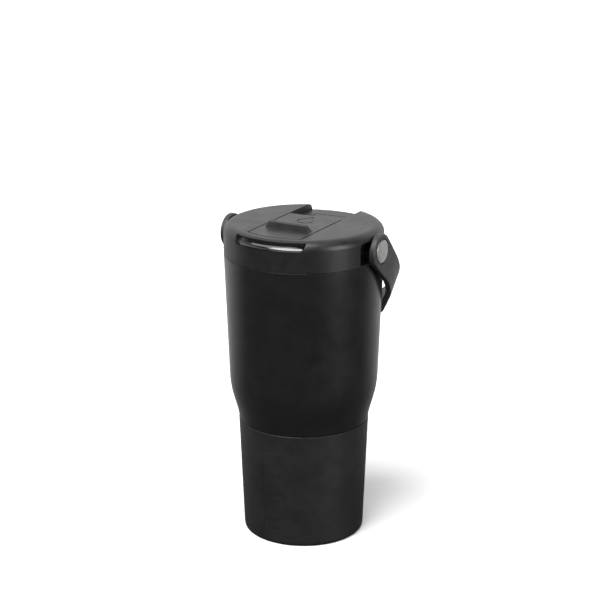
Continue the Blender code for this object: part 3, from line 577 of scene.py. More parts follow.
looks = {  # depth is the bump's height in mm; grain, mottle and lines are per metre
    "bootRubber": {"bevelled": False, "deep": (0.0068, 0.0069, 0.0073),
                   "pale": (0.0108, 0.0109, 0.0114), "smooth": 0.44, "rough": 0.54,
                   "grain": 2400.0, "depth": 0.016, "worn": (0.02, 0.02, 0.021),
                   "wear": 0.25, "dust": 0.08},
    "powderCoat": {"bevelled": False, "deep": (0.0048, 0.0049, 0.0053),
                   "pale": (0.0078, 0.0079, 0.0084), "smooth": 0.27, "rough": 0.34,
                   "grain": 1500.0, "depth": 0.012, "waves": 0.4,
                   "worn": (0.016, 0.016, 0.0165), "wear": 0.2, "dust": 0.06},
    "mattePlastic": {"deep": (0.0055, 0.0057, 0.0061), "pale": (0.0092, 0.0094, 0.0099),
                     "smooth": 0.35, "rough": 0.44, "grain": 3200.0, "depth": 0.018,
                     "worn": (0.024, 0.024, 0.025), "wear": 0.4, "dust": 0.1},
    "strapPlastic": {"deep": (0.013, 0.0132, 0.0138), "pale": (0.02, 0.0203, 0.021),
                     "smooth": 0.42, "rough": 0.54, "grain": 2800.0, "depth": 0.02,
                     "worn": (0.08, 0.08, 0.082), "wear": 0.5, "dust": 0.08},
    "glossPlastic": {"deep": (0.0035, 0.0036, 0.004), "pale": (0.006, 0.0061, 0.0066),
                     "smooth": 0.05, "rough": 0.1, "grain": 900.0, "depth": 0.002,
                     "waves": 1.0, "smear": 0.3, "worn": (0.03, 0.03, 0.031), "wear": 0.2,
                     "specular": 0.9, "dust": 0.04},
    "silicone": {"deep": (0.014, 0.014, 0.0145), "pale": (0.024, 0.024, 0.0245),
                 "smooth": 0.55, "rough": 0.72, "grain": 3000.0, "depth": 0.015,
                 "worn": (0.05, 0.05, 0.05), "wear": 0.2, "specular": 0.35, "dust": 0.35},
    "brushedSteel": {"bevelled": False, "deep": (0.46, 0.455, 0.45), "pale": (0.68, 0.675, 0.665),
                     "smooth": 0.22, "rough": 0.36, "grain": 2600.0, "depth": 0.004,
                     "lines": 2600.0, "streaks": 0.7, "smear": 0.42, "metal": 1.0,
                     "worn": (0.75, 0.74, 0.73), "wear": 0.3, "dust": 0.02},
    "satinSteel": {"bevelled": False, "deep": (0.3, 0.296, 0.29),
                   "pale": (0.58, 0.575, 0.565), "smooth": 0.3,
                   "rough": 0.46, "grain": 2200.0, "mottle": 480.0, "depth": 0.01,
                   "lines": 1800.0, "streaks": 0.3, "metal": 1.0, "turn": (0, math.pi / 2, 0),
                   "centre": (pivotZ * mm, 0, 0), "worn": (0.8, 0.79, 0.78), "wear": 0.4,
                   "dust": 0.04},
    "sealGlass": {"bevelled": False, "deep": (0.2, 0.22, 0.2),
                  "pale": (0.34, 0.36, 0.33), "smooth": 0.1, "rough": 0.24,
                  "grain": 1200.0, "depth": 0.01, "worn": (0.5, 0.5, 0.5),
                  "wear": 0.1, "dust": 0.05},
    "insertBrass": {"bevelled": False, "deep": (0.5, 0.36, 0.15),
                    "pale": (0.74, 0.56, 0.27), "smooth": 0.26, "rough": 0.42,
                    "grain": 2400.0, "depth": 0.006, "lines": 2200.0,
                    "streaks": 0.5, "metal": 1.0, "turn": (0, math.pi / 2, 0),
                    "centre": (pivotZ * mm, 0, 0), "worn": (0.85, 0.7, 0.42), "wear": 0.3,
                    "dust": 0.02},
    "bushNylon": {"bevelled": False, "deep": (0.012, 0.012, 0.013), "pale": (0.024, 0.024, 0.025),
                  "smooth": 0.35, "rough": 0.5, "grain": 2600.0, "depth": 0.01,
                  "worn": (0.06, 0.06, 0.06), "wear": 0.2, "specular": 0.4, "dust": 0.05},
}
finishes = {name: makeFinish(name, look) for name, look in looks.items()}
print("finishes ready:", ", ".join(finishes))


# Boot and foot pad
boot = {"footRadius": 36.5, "chamfer": 1.5, "wall": 1.7, "floor": 2.7, "padRecess": 29.5,
        "padDepth": 1.5, "panelHalf": 7.5, "panelLow": 9.0, "panelHigh": 61.0,
        "panelDepth": 0.14, "bars": 9, "barHalf": 3.6, "barHeight": 2.0}


def bootRadiusAt(z):
    share = (z - boot["chamfer"]) / (bootTop - boot["chamfer"])
    return boot["footRadius"] + (bootRadius - boot["footRadius"]) * share


def bootPatch(half, low, high, inset, proud):
    # a block that follows the boot's front surface
    angle = half / bootRadiusAt((low + high) / 2)
    return swept([(bootRadiusAt(low) - inset, low), (bootRadiusAt(low) + proud, low),
                  (bootRadiusAt(high) + proud, high), (bootRadiusAt(high) - inset, high)],
                 front - angle, 2 * angle, max(3, int(math.degrees(2 * angle) / 2)))


def makeBoot():
    inner = bootRadiusAt(boot["floor"]) - boot["wall"]
    outline = [(0, boot["floor"]), (inner, boot["floor"]), (bootRadius - boot["wall"], bootTop),
               (bootRadius, bootTop), (boot["footRadius"], boot["chamfer"]),
               (boot["footRadius"] - 0.6, 0), (boot["padRecess"], 0),
               (boot["padRecess"], boot["padDepth"]), (0, boot["padDepth"])]
    piece = asObject("bootSleeve", turned(outline, {0.25: (3,), 0.7: (4, 5), 0.3: (2, 6)}))
    panel = asObject("panel", bootPatch(boot["panelHalf"], boot["panelLow"],
                                        boot["panelHigh"], boot["panelDepth"], 2.0))
    pitch = (boot["panelHigh"] - boot["panelLow"]) / boot["bars"]
    bars = []
    for i in range(boot["bars"]):
        middle = boot["panelLow"] + pitch * (i + 0.5)
        bars.append(bootPatch(boot["barHalf"], middle - boot["barHeight"] / 2,
                              middle + boot["barHeight"] / 2, 1.0, 3.0))
    combine(panel, "DIFFERENCE", *bars)
    combine(piece, "DIFFERENCE", takenBack(panel))
    return finishPiece(piece, finishes["bootRubber"], "cup", "base_boot", 50)


footPad = {"radius": 29.2, "thickness": 1.2, "groove": 0.35, "rings": (8.0, 14.0, 20.0, 25.5)}


def makeFootPad():
    outline = [(0, footPad["thickness"]), (footPad["radius"], footPad["thickness"]),
               (footPad["radius"], 0)]
    for ring in reversed(footPad["rings"]):
        outline += [(ring + 0.9, 0), (ring + 0.5, footPad["groove"]),
                    (ring - 0.5, footPad["groove"]), (ring - 0.9, 0)]
    outline.append((0, 0))
    piece = asObject("footPad", turned(outline, {0.25: (1, 2)}))
    return finishPiece(piece, finishes["silicone"], "cup", "foot_pad")


makeBoot()
makeFootPad()


# Steel walls
wall = {"waist": 39.05, "shoulder": 44.6, "shoulderHeight": 99.0, "thickness": 0.8,
        "seam": 0.3, "lean": 0.26, "rimWidth": 4.0, "innerBuild": 5.6, "floor": 9.0,
        "floorFillet": 6.0, "neckBelow": 3.0, "lowerPull": 0.36, "upperLean": 0.28,
        "upperPull": 0.44}


def bodyCurve():
    start = (wall["waist"], bootTop + wall["seam"])
    end = (wall["shoulder"], wall["shoulderHeight"])
    rise = end[1] - start[1]
    lean = (end[0] - start[0]) * wall["lean"]
    first = (start[0] + lean, start[1] + rise * wall["lowerPull"])
    second = (end[0] - lean * wall["upperLean"], end[1] - rise * wall["upperPull"])
    return [start] + easedCurve(start, first, second, end, 24) + [(rimRadius, rimHeight)]


def makeOuterWall():
    step = bootRadius - boot["wall"] - wall["seam"]
    foot = (bootRadiusAt(boot["floor"] + wall["seam"]) - boot["wall"] - wall["seam"],
            boot["floor"] + wall["seam"])
    outside = bodyCurve()[::-1] + [(step, bootTop + wall["seam"]), foot]
    inside = [(foot[0] - wall["thickness"], foot[1]),
              (step - wall["thickness"], bootTop + wall["seam"] + wall["thickness"])]
    inside += [(radius - wall["thickness"], z) for radius, z in bodyCurve()[1:]]
    last = len(outside + inside) - 1
    piece = asObject("outerWall", turned(outside + inside, {0.12: (0, last), 0.3: (25,)}, 192))
    return finishPiece(piece, finishes["powderCoat"], "cup", "outer_shell")


thread = {"starts": 3, "lead": 12.0, "depth": 1.3, "rootHalf": 0.8, "crestHalf": 0.45,
          "sweep": math.radians(116), "neckBase": 162.5, "plugBase": 160.5, "steps": 40}


def threadRidge(crest, root, start, base):
    outline = [(root, base - thread["rootHalf"]), (crest, base - thread["crestHalf"]),
               (crest, base + thread["crestHalf"]), (root, base + thread["rootHalf"])]
    return swept(outline, start * fullTurn / thread["starts"], thread["sweep"],
                 thread["steps"], thread["lead"] * thread["sweep"] / fullTurn)


def makeInnerWall():
    neck = rimRadius - wall["rimWidth"]
    waist = (bootRadius - wall["innerBuild"], bootTop - wall["innerBuild"])
    shoulder = (wall["shoulder"] - wall["rimWidth"], wall["shoulderHeight"])
    rise = shoulder[1] - waist[1]
    low = boot["footRadius"] - wall["innerBuild"]
    fillet = wall["floorFillet"]
    inside = [(0, wall["floor"])]
    inside += [(low - fillet + r, wall["floor"] + fillet + z)
               for r, z in arcPoints(fillet, front, 0, 12)]
    inside.append(waist)
    inside += easedCurve(waist, (waist[0] + 0.8, waist[1] + rise * 0.35),
                         (shoulder[0] - 0.4, shoulder[1] - rise * 0.4), shoulder, 16)
    inside += [(neck, plugBottom - wall["neckBelow"]), (neck, rimHeight)]
    edge = rimRadius - wall["thickness"] - wall["seam"]
    outside = [(0, wall["floor"] - wall["thickness"]),
               (inside[1][0], wall["floor"] - wall["thickness"])]
    outside += [(radius + wall["thickness"], z) for radius, z in inside[2:-1]]
    outside += [(neck + wall["thickness"], rimHeight - wall["thickness"]),
                (edge, rimHeight - wall["thickness"]), (edge, rimHeight)]
    rimCorner = len(inside) - 1
    piece = asObject("innerWall", turned(inside + outside[::-1],
                                         {0.35: (rimCorner, rimCorner + 1, rimCorner + 2)},
                                         192))
    ridges = [threadRidge(neck - thread["depth"], neck + wall["thickness"] / 2, start,
                          thread["neckBase"]) for start in range(thread["starts"])]
    combine(piece, "UNION", *ridges)
    return finishPiece(piece, finishes["brushedSteel"], "cup", "inner_vessel")


makeOuterWall()
makeInnerWall()


# Lid cap
cap = {"wall": 2.2, "roof": 2.8, "fillet": 5.6, "plateGap": 0.8, "lipInset": 2.6,
       "lipThickness": 1.7, "lipWidth": 2.9, "notchDrop": 6.1,
       "notchHalf": math.radians(31), "endSlant": math.radians(3.5), "deckDrop": 4.4,
       "trayWall": 2.0, "barrel": 3.9, "trough": 4.6, "pinHole": 1.55, "coverHalf": 10.5,
       "coverLength": 15.5, "coverDepth": 1.4, "coverCorner": 2.5, "recessHalf": 15.0,
       "recessRise": 7.0, "recessDepth": 3.7, "recessCorner": 2.5, "edge": 0.4,
       "fit": 0.3}
capInner = rimRadius - cap["wall"]
channelHalf = plateHalf + cap["plateGap"]
pocketRadius = plateFront + cap["plateGap"]
lipRadius = rimRadius - cap["lipInset"]
deckZ = lidTop - cap["deckDrop"]
lipUnder = lidTop - cap["lipThickness"]
notchZ = lidTop - cap["notchDrop"]
roofZ = lidTop - cap["roof"]
trayHalf = channelHalf + cap["trayWall"]
trayFront = hingeY - cap["trough"] - cap["trayWall"] / 2
trayBottom = hingeZ - cap["trough"] - cap["trayWall"]
coverFront = hingeY + cap["trough"] + cap["trayWall"]
coreTop = trayBottom - cap["fit"]


def slantEnds(shape):
    # draws in the lower part of a piece of the notch, so that its ends lean
    low = cap["endSlant"] / cap["notchHalf"]
    for vert in shape.verts:
        share = max(0.0, min(1.0, (vert.co.z / mm - notchZ) / (lidTop - notchZ)))
        ahead = math.atan2(vert.co.x, -vert.co.y)
        vert.co = Matrix.Rotation(-ahead * low * (1 - share), 3, "Z") @ vert.co
    return shape


def makeLidCap():
    fillet = cap["fillet"]
    innerFillet = fillet - cap["wall"]
    outline = [(0, lidTop), (rimRadius, lidTop), (rimRadius, lidSeat), (capInner, lidSeat),
               (capInner, roofZ), (0, roofZ)]
    shape = turned(outline, {fillet: (1,), innerFillet: (4,)})
    piece = asObject("lidCap", shape)
    trayPlan = [(x, -y) for x, y in channelPlan(trayHalf, capInner + 1.1, -trayFront)]
    tray = upright(trayPlan, deckZ - cap["trayWall"], roofZ + cap["roof"] / 2)
    trough = box((-trayHalf, trayFront, trayBottom),
                 (trayHalf, coverFront, deckZ - cap["trayWall"] / 2))
    combine(piece, "UNION", tray, trough)
    half = cap["notchHalf"]
    coverCorners = rectangle(-cap["coverHalf"] - cap["fit"], cap["coverHalf"] + cap["fit"],
                             coverFront - cap["fit"],
                             coverFront + cap["coverLength"] + cap["fit"])
    cutters = [
        upright(channelPlan(channelHalf, pocketRadius, trayFront - cap["fit"]), coreTop,
                lidTop + past),
        box((-channelHalf, trayFront - past, deckZ),
            (channelHalf, rimRadius + past, lidTop + past)),
        rod(cap["trough"], -channelHalf, channelHalf, hingeY, hingeZ),
        upright(coverCorners, deckZ - cap["coverDepth"] - cap["fit"], deckZ + past,
                {cap["coverCorner"]: (0, 1, 2, 3)}),
        rod(cap["pinHole"], -trayHalf - past, trayHalf + past, hingeY, hingeZ),
        slantEnds(swept([(lipRadius - cap["lipWidth"], notchZ), (rimRadius + past, notchZ),
                         (rimRadius + past, lidTop + past), (lipRadius, lidTop + past),
                         (lipRadius, lipUnder), (lipRadius - cap["lipWidth"], lipUnder)],
                        front - half, 2 * half, 31))]
    reach = cap["recessHalf"]
    for side in (1, -1):
        corners = rectangle(-reach, reach, lidSeat - 5, pivotZ + cap["recessRise"])
        cutters.append(crosswise(corners, *outward(side, rimRadius - 8, rimRadius + past),
                                 {cap["recessCorner"]: (2, 3)}))
    combine(piece, "DIFFERENCE", *cutters)
    soften(piece, cap["edge"], 3)
    return finishPiece(piece, finishes["mattePlastic"], "lid", "lid_shell",
                       40)


cover = {"edge": 0.35, "corner": 2.2}


def makeHingeCover():
    corners = rectangle(-cap["coverHalf"], cap["coverHalf"], coverFront,
                        coverFront + cap["coverLength"])
    piece = asObject("hingeCover", upright(corners, deckZ - cap["coverDepth"], deckZ,
                                           {cover["corner"]: (0, 1, 2, 3)}))
    soften(piece, cover["edge"], 3, 60)
    return finishPiece(piece, finishes["mattePlastic"], "lid", "hinge_cover")


makeLidCap()
makeHingeCover()


# Lid core
core = {"plug": 41.6, "plugWall": 2.0, "roof": 2.0, "radius": 44.9, "flange": 174.6,
        "platform": 188.4, "cove": 2.6, "spoutY": -30.0, "spoutLength": 9.0,
        "spoutWidth": 4.5, "ductWall": 1.5, "ventY": -4.0, "vent": 1.6, "ventWall": 1.4,
        "liner": 1.8, "boss": 6.0, "bossEnd": 46.7, "insertBore": 3.2, "insertLength": 9.3,
        "gasketTop": 174.3, "gasketHeight": 4.0, "grooveDepth": 0.6, "edge": 0.3}


def makeLidCore():
    roof = coreTop - core["roof"]
    fit = cap["fit"]
    outline = [(0, coreTop), (core["radius"], coreTop), (core["radius"], core["flange"]),
               (core["plug"], core["flange"]), (core["plug"], plugBottom),
               (core["plug"] - core["plugWall"], plugBottom),
               (core["plug"] - core["plugWall"], roof), (0, roof)]
    piece = asObject("lidCore", turned(outline))
    inset = channelHalf - fit
    platform = box((-inset, -pocketRadius, roof + bite), (inset, trayFront - fit, core["platform"]))
    low = (rimRadius - fit, notchZ + fit)
    high = (lipRadius - fit, lipUnder - fit)
    inner = lipRadius - cap["lipWidth"] + fit
    ledge = [(inner, roof + bite), (core["radius"], roof + bite), (core["radius"], low[1]),
             low]
    ledge += easedCurve(low, (low[0] - core["cove"] * 0.6, low[1] + core["cove"] * 0.1),
                        (high[0] - core["cove"] * 0.1, high[1] - core["cove"] * 0.7), high, 16)
    ledge.append((inner, high[1]))
    half = cap["notchHalf"] - fit / lipRadius
    duct = slot(core["spoutLength"] + core["ductWall"], core["spoutWidth"] + core["ductWall"],
                core["spoutY"], plugBottom + core["liner"] + 2 * fit, roof + bite)
    tube = post(core["vent"] + core["ventWall"], plugBottom + core["liner"] + 2 * fit,
                roof + bite, 0, core["ventY"])
    combine(piece, "UNION", platform, slantEnds(swept(ledge, front - half, 2 * half, 31)),
            duct, tube)
    padX = rimRadius - cap["recessDepth"]
    reach = cap["recessHalf"] - fit
    for side in (1, -1):
        corners = rectangle(-reach, reach, core["flange"], pivotZ + cap["recessRise"] - fit)
        ends = outward(side, core["plug"] - bite, padX)
        combine(piece, "UNION", crosswise(corners, *ends, {cap["recessCorner"] - fit: (2, 3)}))
        faceEnds = outward(side, padX, rimRadius + past)
        combine(piece, "DIFFERENCE", box((faceEnds[0], -cap["recessHalf"], lidSeat - past),
                                         (faceEnds[1], cap["recessHalf"], lidTop)))
        bossEnds = outward(side, padX - past, core["bossEnd"])
        combine(piece, "UNION", rod(core["boss"], *bossEnds, 0, pivotZ))
        boreEnds = outward(side, core["bossEnd"] - core["insertLength"], core["bossEnd"] + past)
        combine(piece, "DIFFERENCE", rod(core["insertBore"], *boreEnds, 0, pivotZ))
    spout = slot(core["spoutLength"], core["spoutWidth"], core["spoutY"], plugBottom - past,
                 core["platform"] + past)
    vent = post(core["vent"], plugBottom - past, core["platform"] + past, 0, core["ventY"])
    groove = turned([(core["plug"] - core["grooveDepth"], core["gasketTop"]),
                     (core["plug"] + past, core["gasketTop"]),
                     (core["plug"] + past, core["gasketTop"] - core["gasketHeight"]),
                     (core["plug"] - core["grooveDepth"],
                      core["gasketTop"] - core["gasketHeight"])])
    combine(piece, "DIFFERENCE", spout, vent, groove)
    soften(piece, core["edge"], 3)
    ridges = [threadRidge(core["plug"] + thread["depth"], core["plug"] - bite, start,
                          thread["plugBase"]) for start in range(thread["starts"])]
    combine(piece, "UNION", *ridges)
    return finishPiece(piece, finishes["glossPlastic"], "lid", "lid_core",
                       40)


gasket = {"inner": 41.3, "outer": 43.1, "top": 174.0, "height": 3.4}


def makeGasket():
    top, tall = gasket["top"], gasket["height"]
    waist = gasket["inner"] + 0.6
    outline = [(gasket["inner"], top), (gasket["outer"], top), (gasket["outer"], top - tall * 0.25),
               (waist, top - tall * 0.4), (waist, top - tall * 0.6),
               (gasket["outer"], top - tall * 0.75), (gasket["outer"], top - tall),
               (gasket["inner"], top - tall)]
    piece = asObject("lidGasket", turned(outline, {0.28: (1, 2, 3, 4, 5, 6), 0.15: (0, 7)}))
    return finishPiece(piece, finishes["silicone"], "seal", "lid_gasket")


liner = {"radius": 39.3, "edge": 0.3, "ringRadius": 33.0, "ringWidth": 1.2, "ringDepth": 0.4}


def makePlugLiner():
    top = plugBottom + core["liner"]
    outline = [(0, top), (liner["radius"], top), (liner["radius"], plugBottom), (0, plugBottom)]
    piece = asObject("plugLiner", turned(outline))
    ring = turned(rectangle(liner["ringRadius"], liner["ringRadius"] + liner["ringWidth"],
                            plugBottom - bite, plugBottom + liner["ringDepth"]))
    combine(piece, "DIFFERENCE", ring,
            slot(core["spoutLength"], core["spoutWidth"], core["spoutY"], plugBottom - past,
                 top + past),
            post(core["vent"], plugBottom - past, top + past, 0, core["ventY"]))
    soften(piece, liner["edge"], 2, 50)
    return finishPiece(piece, finishes["mattePlastic"], "lid", "lid_liner")


makeLidCore()
makeGasket()
makePlugLiner()


# Flip plate and stoppers
plate = {"thickness": 3.5, "edge": 0.55, "ribFront": -21.0, "ribDepth": 5.4, "ribHalf": 15.5,
         "ridgeHalf": 12.5, "ridgeDepth": 1.6, "ribLean": 1.0, "ribEdge": 0.7,
         "pinBore": 1.55, "flange": 2.0, "flangeThickness": 0.95, "markY": 2.0,
         "markRadius": 5.2, "markPoint": 4.6, "markLine": 0.8, "markDepth": 0.3}

stopper = {"fit": 0.4, "depth": 3.9, "ventDepth": 1.8, "ventFlange": 1.6, "edge": 0.25}


def dropletPlan(size):
    # a plain water drop, its point towards the hinge
    plan = []
    for across, ahead in arcPoints(size, 0, fullTurn, 72)[:-1]:
        rise = max(0.0, ahead / size)
        point = plate["markPoint"] * rise ** 5 * size / plate["markRadius"]
        plan.append((across * (1 - 0.45 * rise ** 2), plate["markY"] + ahead + point))
    return plan


def dropletGroove():
    # the drop's outline, cut as a shallow groove
    low = lidTop - plate["markDepth"]
    ring = asObject("ring", upright(dropletPlan(plate["markRadius"]), low, lidTop + past))
    combine(ring, "DIFFERENCE", upright(dropletPlan(plate["markRadius"] - plate["markLine"]),
                                        low - bite, lidTop + past + bite))
    return takenBack(ring)


def makeFlipPlate():
    under = lidTop - plate["thickness"]
    piece = asObject("flipPlate", upright(channelPlan(plateHalf, plateFront, hingeY), under,
                                          lidTop))
    combine(piece, "UNION", rod(cap["barrel"], -plateHalf + 0.1, plateHalf - 0.1, hingeY, hingeZ))
    seat = under + plate["flangeThickness"] + cap["fit"]
    spread = plate["flange"] + cap["fit"]
    combine(piece, "DIFFERENCE",
            slot(core["spoutLength"] + spread, core["spoutWidth"] + spread, core["spoutY"],
                 under - past, seat),
            post(core["vent"] + stopper["ventFlange"] + cap["fit"], under - past, seat, 0,
                 core["ventY"]),
            rod(plate["pinBore"], -plateHalf - past, plateHalf + past, hingeY, hingeZ))
    rib = box((-plate["ribHalf"], plate["ribFront"], lidTop - 1.2),
              (plate["ribHalf"], plate["ribFront"] + plate["ribDepth"], ribTop))
    for vert in rib.verts:
        if vert.co.z > lidTop * mm:
            vert.co.x = math.copysign(plate["ridgeHalf"] * mm, vert.co.x)
            behind = vert.co.y > (plate["ribFront"] + plate["ribDepth"] / 2) * mm
            vert.co.y = (plate["ribFront"] + plate["ribLean"]) * mm
            vert.co.y += plate["ridgeDepth"] * mm * behind
    upper = [e for e in rib.edges if max(v.co.z for v in e.verts) > lidTop * mm]
    bmesh.ops.bevel(rib, geom=upper, offset=plate["ribEdge"] * mm, offset_type="OFFSET",
                    affect="EDGES", segments=4, profile=0.5, material=-1, clamp_overlap=True)
    combine(piece, "UNION", cleaned(rib))
    soften(piece, plate["edge"], 4, 40, lambda e: min(v.co.z for v in e.verts) > (under - bite) * mm)
    combine(piece, "DIFFERENCE", dropletGroove())
    return finishPiece(piece, finishes["mattePlastic"], "flip", "flip_plate",
                       40)


def makeStoppers():
    under = lidTop - plate["thickness"]
    top = under + plate["flangeThickness"]
    flangeBottom = core["platform"] + cap["fit"]
    spout = asObject("spoutStopper", slot(core["spoutLength"] + plate["flange"],
                                          core["spoutWidth"] + plate["flange"],
                                          core["spoutY"], flangeBottom, top))
    combine(spout, "UNION", slot(core["spoutLength"] - stopper["fit"],
                                 core["spoutWidth"] - stopper["fit"], core["spoutY"],
                                 core["platform"] - stopper["depth"], top - 0.3))
    vent = asObject("ventStopper", post(core["vent"] + stopper["ventFlange"], flangeBottom,
                                        top, 0, core["ventY"]))
    combine(vent, "UNION", post(core["vent"] - stopper["fit"],
                                core["platform"] - stopper["ventDepth"], top - 0.3, 0,
                                core["ventY"]))
    for piece, cadNode in ((spout, "spout_stopper"), (vent, "vent_stopper")):
        soften(piece, stopper["edge"], 3, 50)
        finishPiece(piece, finishes["silicone"], "flip", cadNode)


makeFlipPlate()
makeStoppers()


# Bail strap, bushes, bolts
bail = {"angle": math.radians(43.5), "thickness": 3.6, "halfWidth": 9.0, "armX": 49.8,
        "armLength": 30.0, "armFillet": 56.0, "knee": (29.3, 67.29), "kneeFillet": 36.0,
        "end": 87.4, "endFillet": 30.0, "earRadius": 10.4, "easing": 22.0, "edge": 0.9,
        "holeEdge": 0.3, "holeReach": 6, "bushBore": 5.9, "headBore": 7.6, "headSeat": 50.0,
        "stations": 150}


def roundedPath(points, radii, steps=24):
    # an open path in the bail's plane, its inner corners replaced by arcs
    path = [Vector(points[0])]
    for i, radius in enumerate(radii, 1):
        corner = Vector(points[i])
        back = (Vector(points[i - 1]) - corner).normalized()
        ahead = (Vector(points[i + 1]) - corner).normalized()
        half = back.angle(ahead) / 2
        centre = corner + (back + ahead).normalized() * radius / math.sin(half)
        first = corner + back * radius / math.tan(half) - centre
        last = corner + ahead * radius / math.tan(half) - centre
        sweep = first.angle_signed(last)
        for step in range(steps + 1):
            path.append(centre + Matrix.Rotation(-sweep * step / steps, 2) @ first)
    path.append(Vector(points[-1]))
    return path


def strapHalfWidth(distance):
    # the ear's round end, then an easing down to the band's own width
    if distance < 0:
        return math.sqrt(max(0.0, bail["earRadius"] ** 2 - distance ** 2))
    share = min(1.0, distance / bail["easing"])
    ease = share * share * (3 - 2 * share)
    return bail["earRadius"] + (bail["halfWidth"] - bail["earRadius"]) * ease


def makeStrap():
    armX, knee, radius = bail["armX"], bail["knee"], bail["earRadius"]
    start = radius * 0.9975
    corners = [(armX, -start), (armX, bail["armLength"]), knee, (0, bail["end"]),
               (-knee[0], knee[1]), (-armX, bail["armLength"]), (-armX, -start)]
    fillets = [bail["armFillet"], bail["kneeFillet"], bail["endFillet"], bail["kneeFillet"],
               bail["armFillet"]]
    path = roundedPath(corners, fillets)
    travelled = [0.0]
    for here, there in zip(path, path[1:]):
        travelled.append(travelled[-1] + (there - here).length)
    whole = travelled[-1]
    ends = [start - radius * math.cos(math.radians(4 + 6.14 * i)) for i in range(15)]
    middle = [radius + (whole - 2 * radius) * i / bail["stations"]
              for i in range(1, bail["stations"])]
    places = ends + middle + [whole - d for d in reversed(ends)]

    def alongPath(distance):
        leg = max(i for i in range(len(path) - 1) if i == 0 or travelled[i] <= distance)
        share = (distance - travelled[leg]) / (travelled[leg + 1] - travelled[leg])
        here = path[leg].lerp(path[leg + 1], share)
        before = path[max(leg - 1, 0)] if share < 0.5 and leg else path[leg]
        after = path[leg + 1] if share < 0.5 and leg else path[min(leg + 2, len(path) - 1)]
        heading = (after - before).normalized()
        return here, Vector((heading.y, -heading.x))

    shape = bmesh.new()
    columns = len(places) - 1
    bmesh.ops.create_grid(shape, x_segments=columns, y_segments=6, size=1)
    extruded(shape, (0, 0, 1 / mm))
    for vert in shape.verts:
        number = round((vert.co.x + 1) / 2 * columns)
        distance = places[number]
        point, normal = alongPath(distance)
        fromEnd = min(distance, whole - distance) - start
        thick = bail["thickness"] / 2 * (1 if vert.co.z > 0.5 else -1)
        across = point + normal * thick
        vert.co = Vector((across.x, across.y, vert.co.y * strapHalfWidth(fromEnd))) * mm
    cleaned(shape)
    piece = asObject("bailStrap", shape)
    soften(piece, bail["edge"], 5, 50)
    for side in (1, -1):
        through = outward(side, armX - bail["holeReach"], armX + bail["holeReach"])
        sunk = outward(side, bail["headSeat"], armX + bail["holeReach"])
        combine(piece, "DIFFERENCE", rod(bail["bushBore"], *through, steps=72),
                rod(bail["headBore"], *sunk, steps=96))
    soften(piece, bail["holeEdge"], 3, 50)
    turn = Matrix.Rotation(-bail["angle"], 4, "X")
    piece.data.transform(Matrix.Translation((0, 0, pivotZ * mm)) @ turn)
    return finishPiece(piece, finishes["strapPlastic"], "bail", "handle_strap",
                       40)


pivot = {"headRadius": 7.0, "headThickness": 1.8, "shoulderRadius": 4.0, "shankRadius": 1.5,
         "shoulderX": 47.0, "tipX": 38.0, "dome": 0.35, "notch": 0.8, "bushBore": 4.3,
         "bushRadius": 5.6, "bushFlange": 6.7, "flangeX": 47.0, "sleeveX": 47.6,
         "sleeveEnd": 50.0}


def makeBolt(side, label):
    head = boltFace - pivot["headThickness"]
    edge = boltFace - pivot["dome"]
    outline = [(boltFace, 0), (boltFace - 0.06, pivot["headRadius"] * 0.45),
               (boltFace - 0.16, pivot["headRadius"] * 0.75), (edge, pivot["headRadius"]),
               (head, pivot["headRadius"]), (head, pivot["shoulderRadius"]),
               (pivot["shoulderX"], pivot["shoulderRadius"]),
               (pivot["shoulderX"], pivot["shankRadius"]), (pivot["tipX"], pivot["shankRadius"]),
               (pivot["tipX"], 0)]
    shape = turnedAlongX(outline, side, pivotZ, {0.35: (3,), 0.2: (4, 5, 6, 8)}, 120)
    piece = asObject("pivotBolt" + label, shape)
    ends = outward(side, head + 0.4, boltFace + past)
    combine(piece, "DIFFERENCE",
            *[rod(pivot["notch"], *ends, 0, pivotZ + way * pivot["headRadius"], 32)
              for way in (1, -1)])
    return finishPiece(piece, finishes["satinSteel"], "lid", "pivot_bolt_" + label.lower())


def makeBush(side, label):
    outline = [(pivot["sleeveEnd"], pivot["bushBore"]), (pivot["sleeveEnd"], pivot["bushRadius"]),
               (pivot["sleeveX"], pivot["bushRadius"]), (pivot["sleeveX"], pivot["bushFlange"]),
               (pivot["flangeX"], pivot["bushFlange"]), (pivot["flangeX"], pivot["bushBore"])]
    piece = asObject("pivotBush" + label, turnedAlongX(outline, side, pivotZ, {0.2: (0, 1, 3, 4)}))
    return finishPiece(piece, finishes["bushNylon"], "bail", "pivot_bush_" + label.lower())


makeStrap()
for side, label in ((1, "Right"), (-1, "Left")):
    makeBolt(side, label)
    makeBush(side, label)


# CAD nodes that stay
kept = {"shell_base_disc": "brushedSteel", "vacuum_seal_cap": "sealGlass",
        "vacuum_getter": "brushedSteel", "liner_seal": "silicone", "hinge_pin": "brushedSteel",
        "pivot_insert_left": "insertBrass", "pivot_insert_right": "insertBrass"}
for nodeName, finishName in kept.items():
    slots = frame["nodes"][nodeName].data.materials
    slots.clear()
    slots.append(finishes[finishName])
print("kept nodes finished:", len(kept))


# Camera
camera = {"bearing": math.radians(28.5), "reach": 969.5, "height": 446.8,
          "tilt": math.radians(17.34), "swing": math.radians(0.135), "lens": 102.1}


def makeCamera():
    data = bpy.data.cameras.new("studioCamera")
    data.lens = camera["lens"]
    data.sensor_width = 36
    data.clip_start = 0.01
    made = bpy.data.objects.new("studioCamera", data)
    made.location = Vector((camera["reach"] * math.sin(camera["bearing"]),
                            -camera["reach"] * math.cos(camera["bearing"]),
                            camera["height"])) * mm
    made.rotation_euler = (math.pi / 2 - camera["tilt"], 0, camera["bearing"] + camera["swing"])
    bpy.context.scene.collection.objects.link(made)
    bpy.context.scene.camera = made


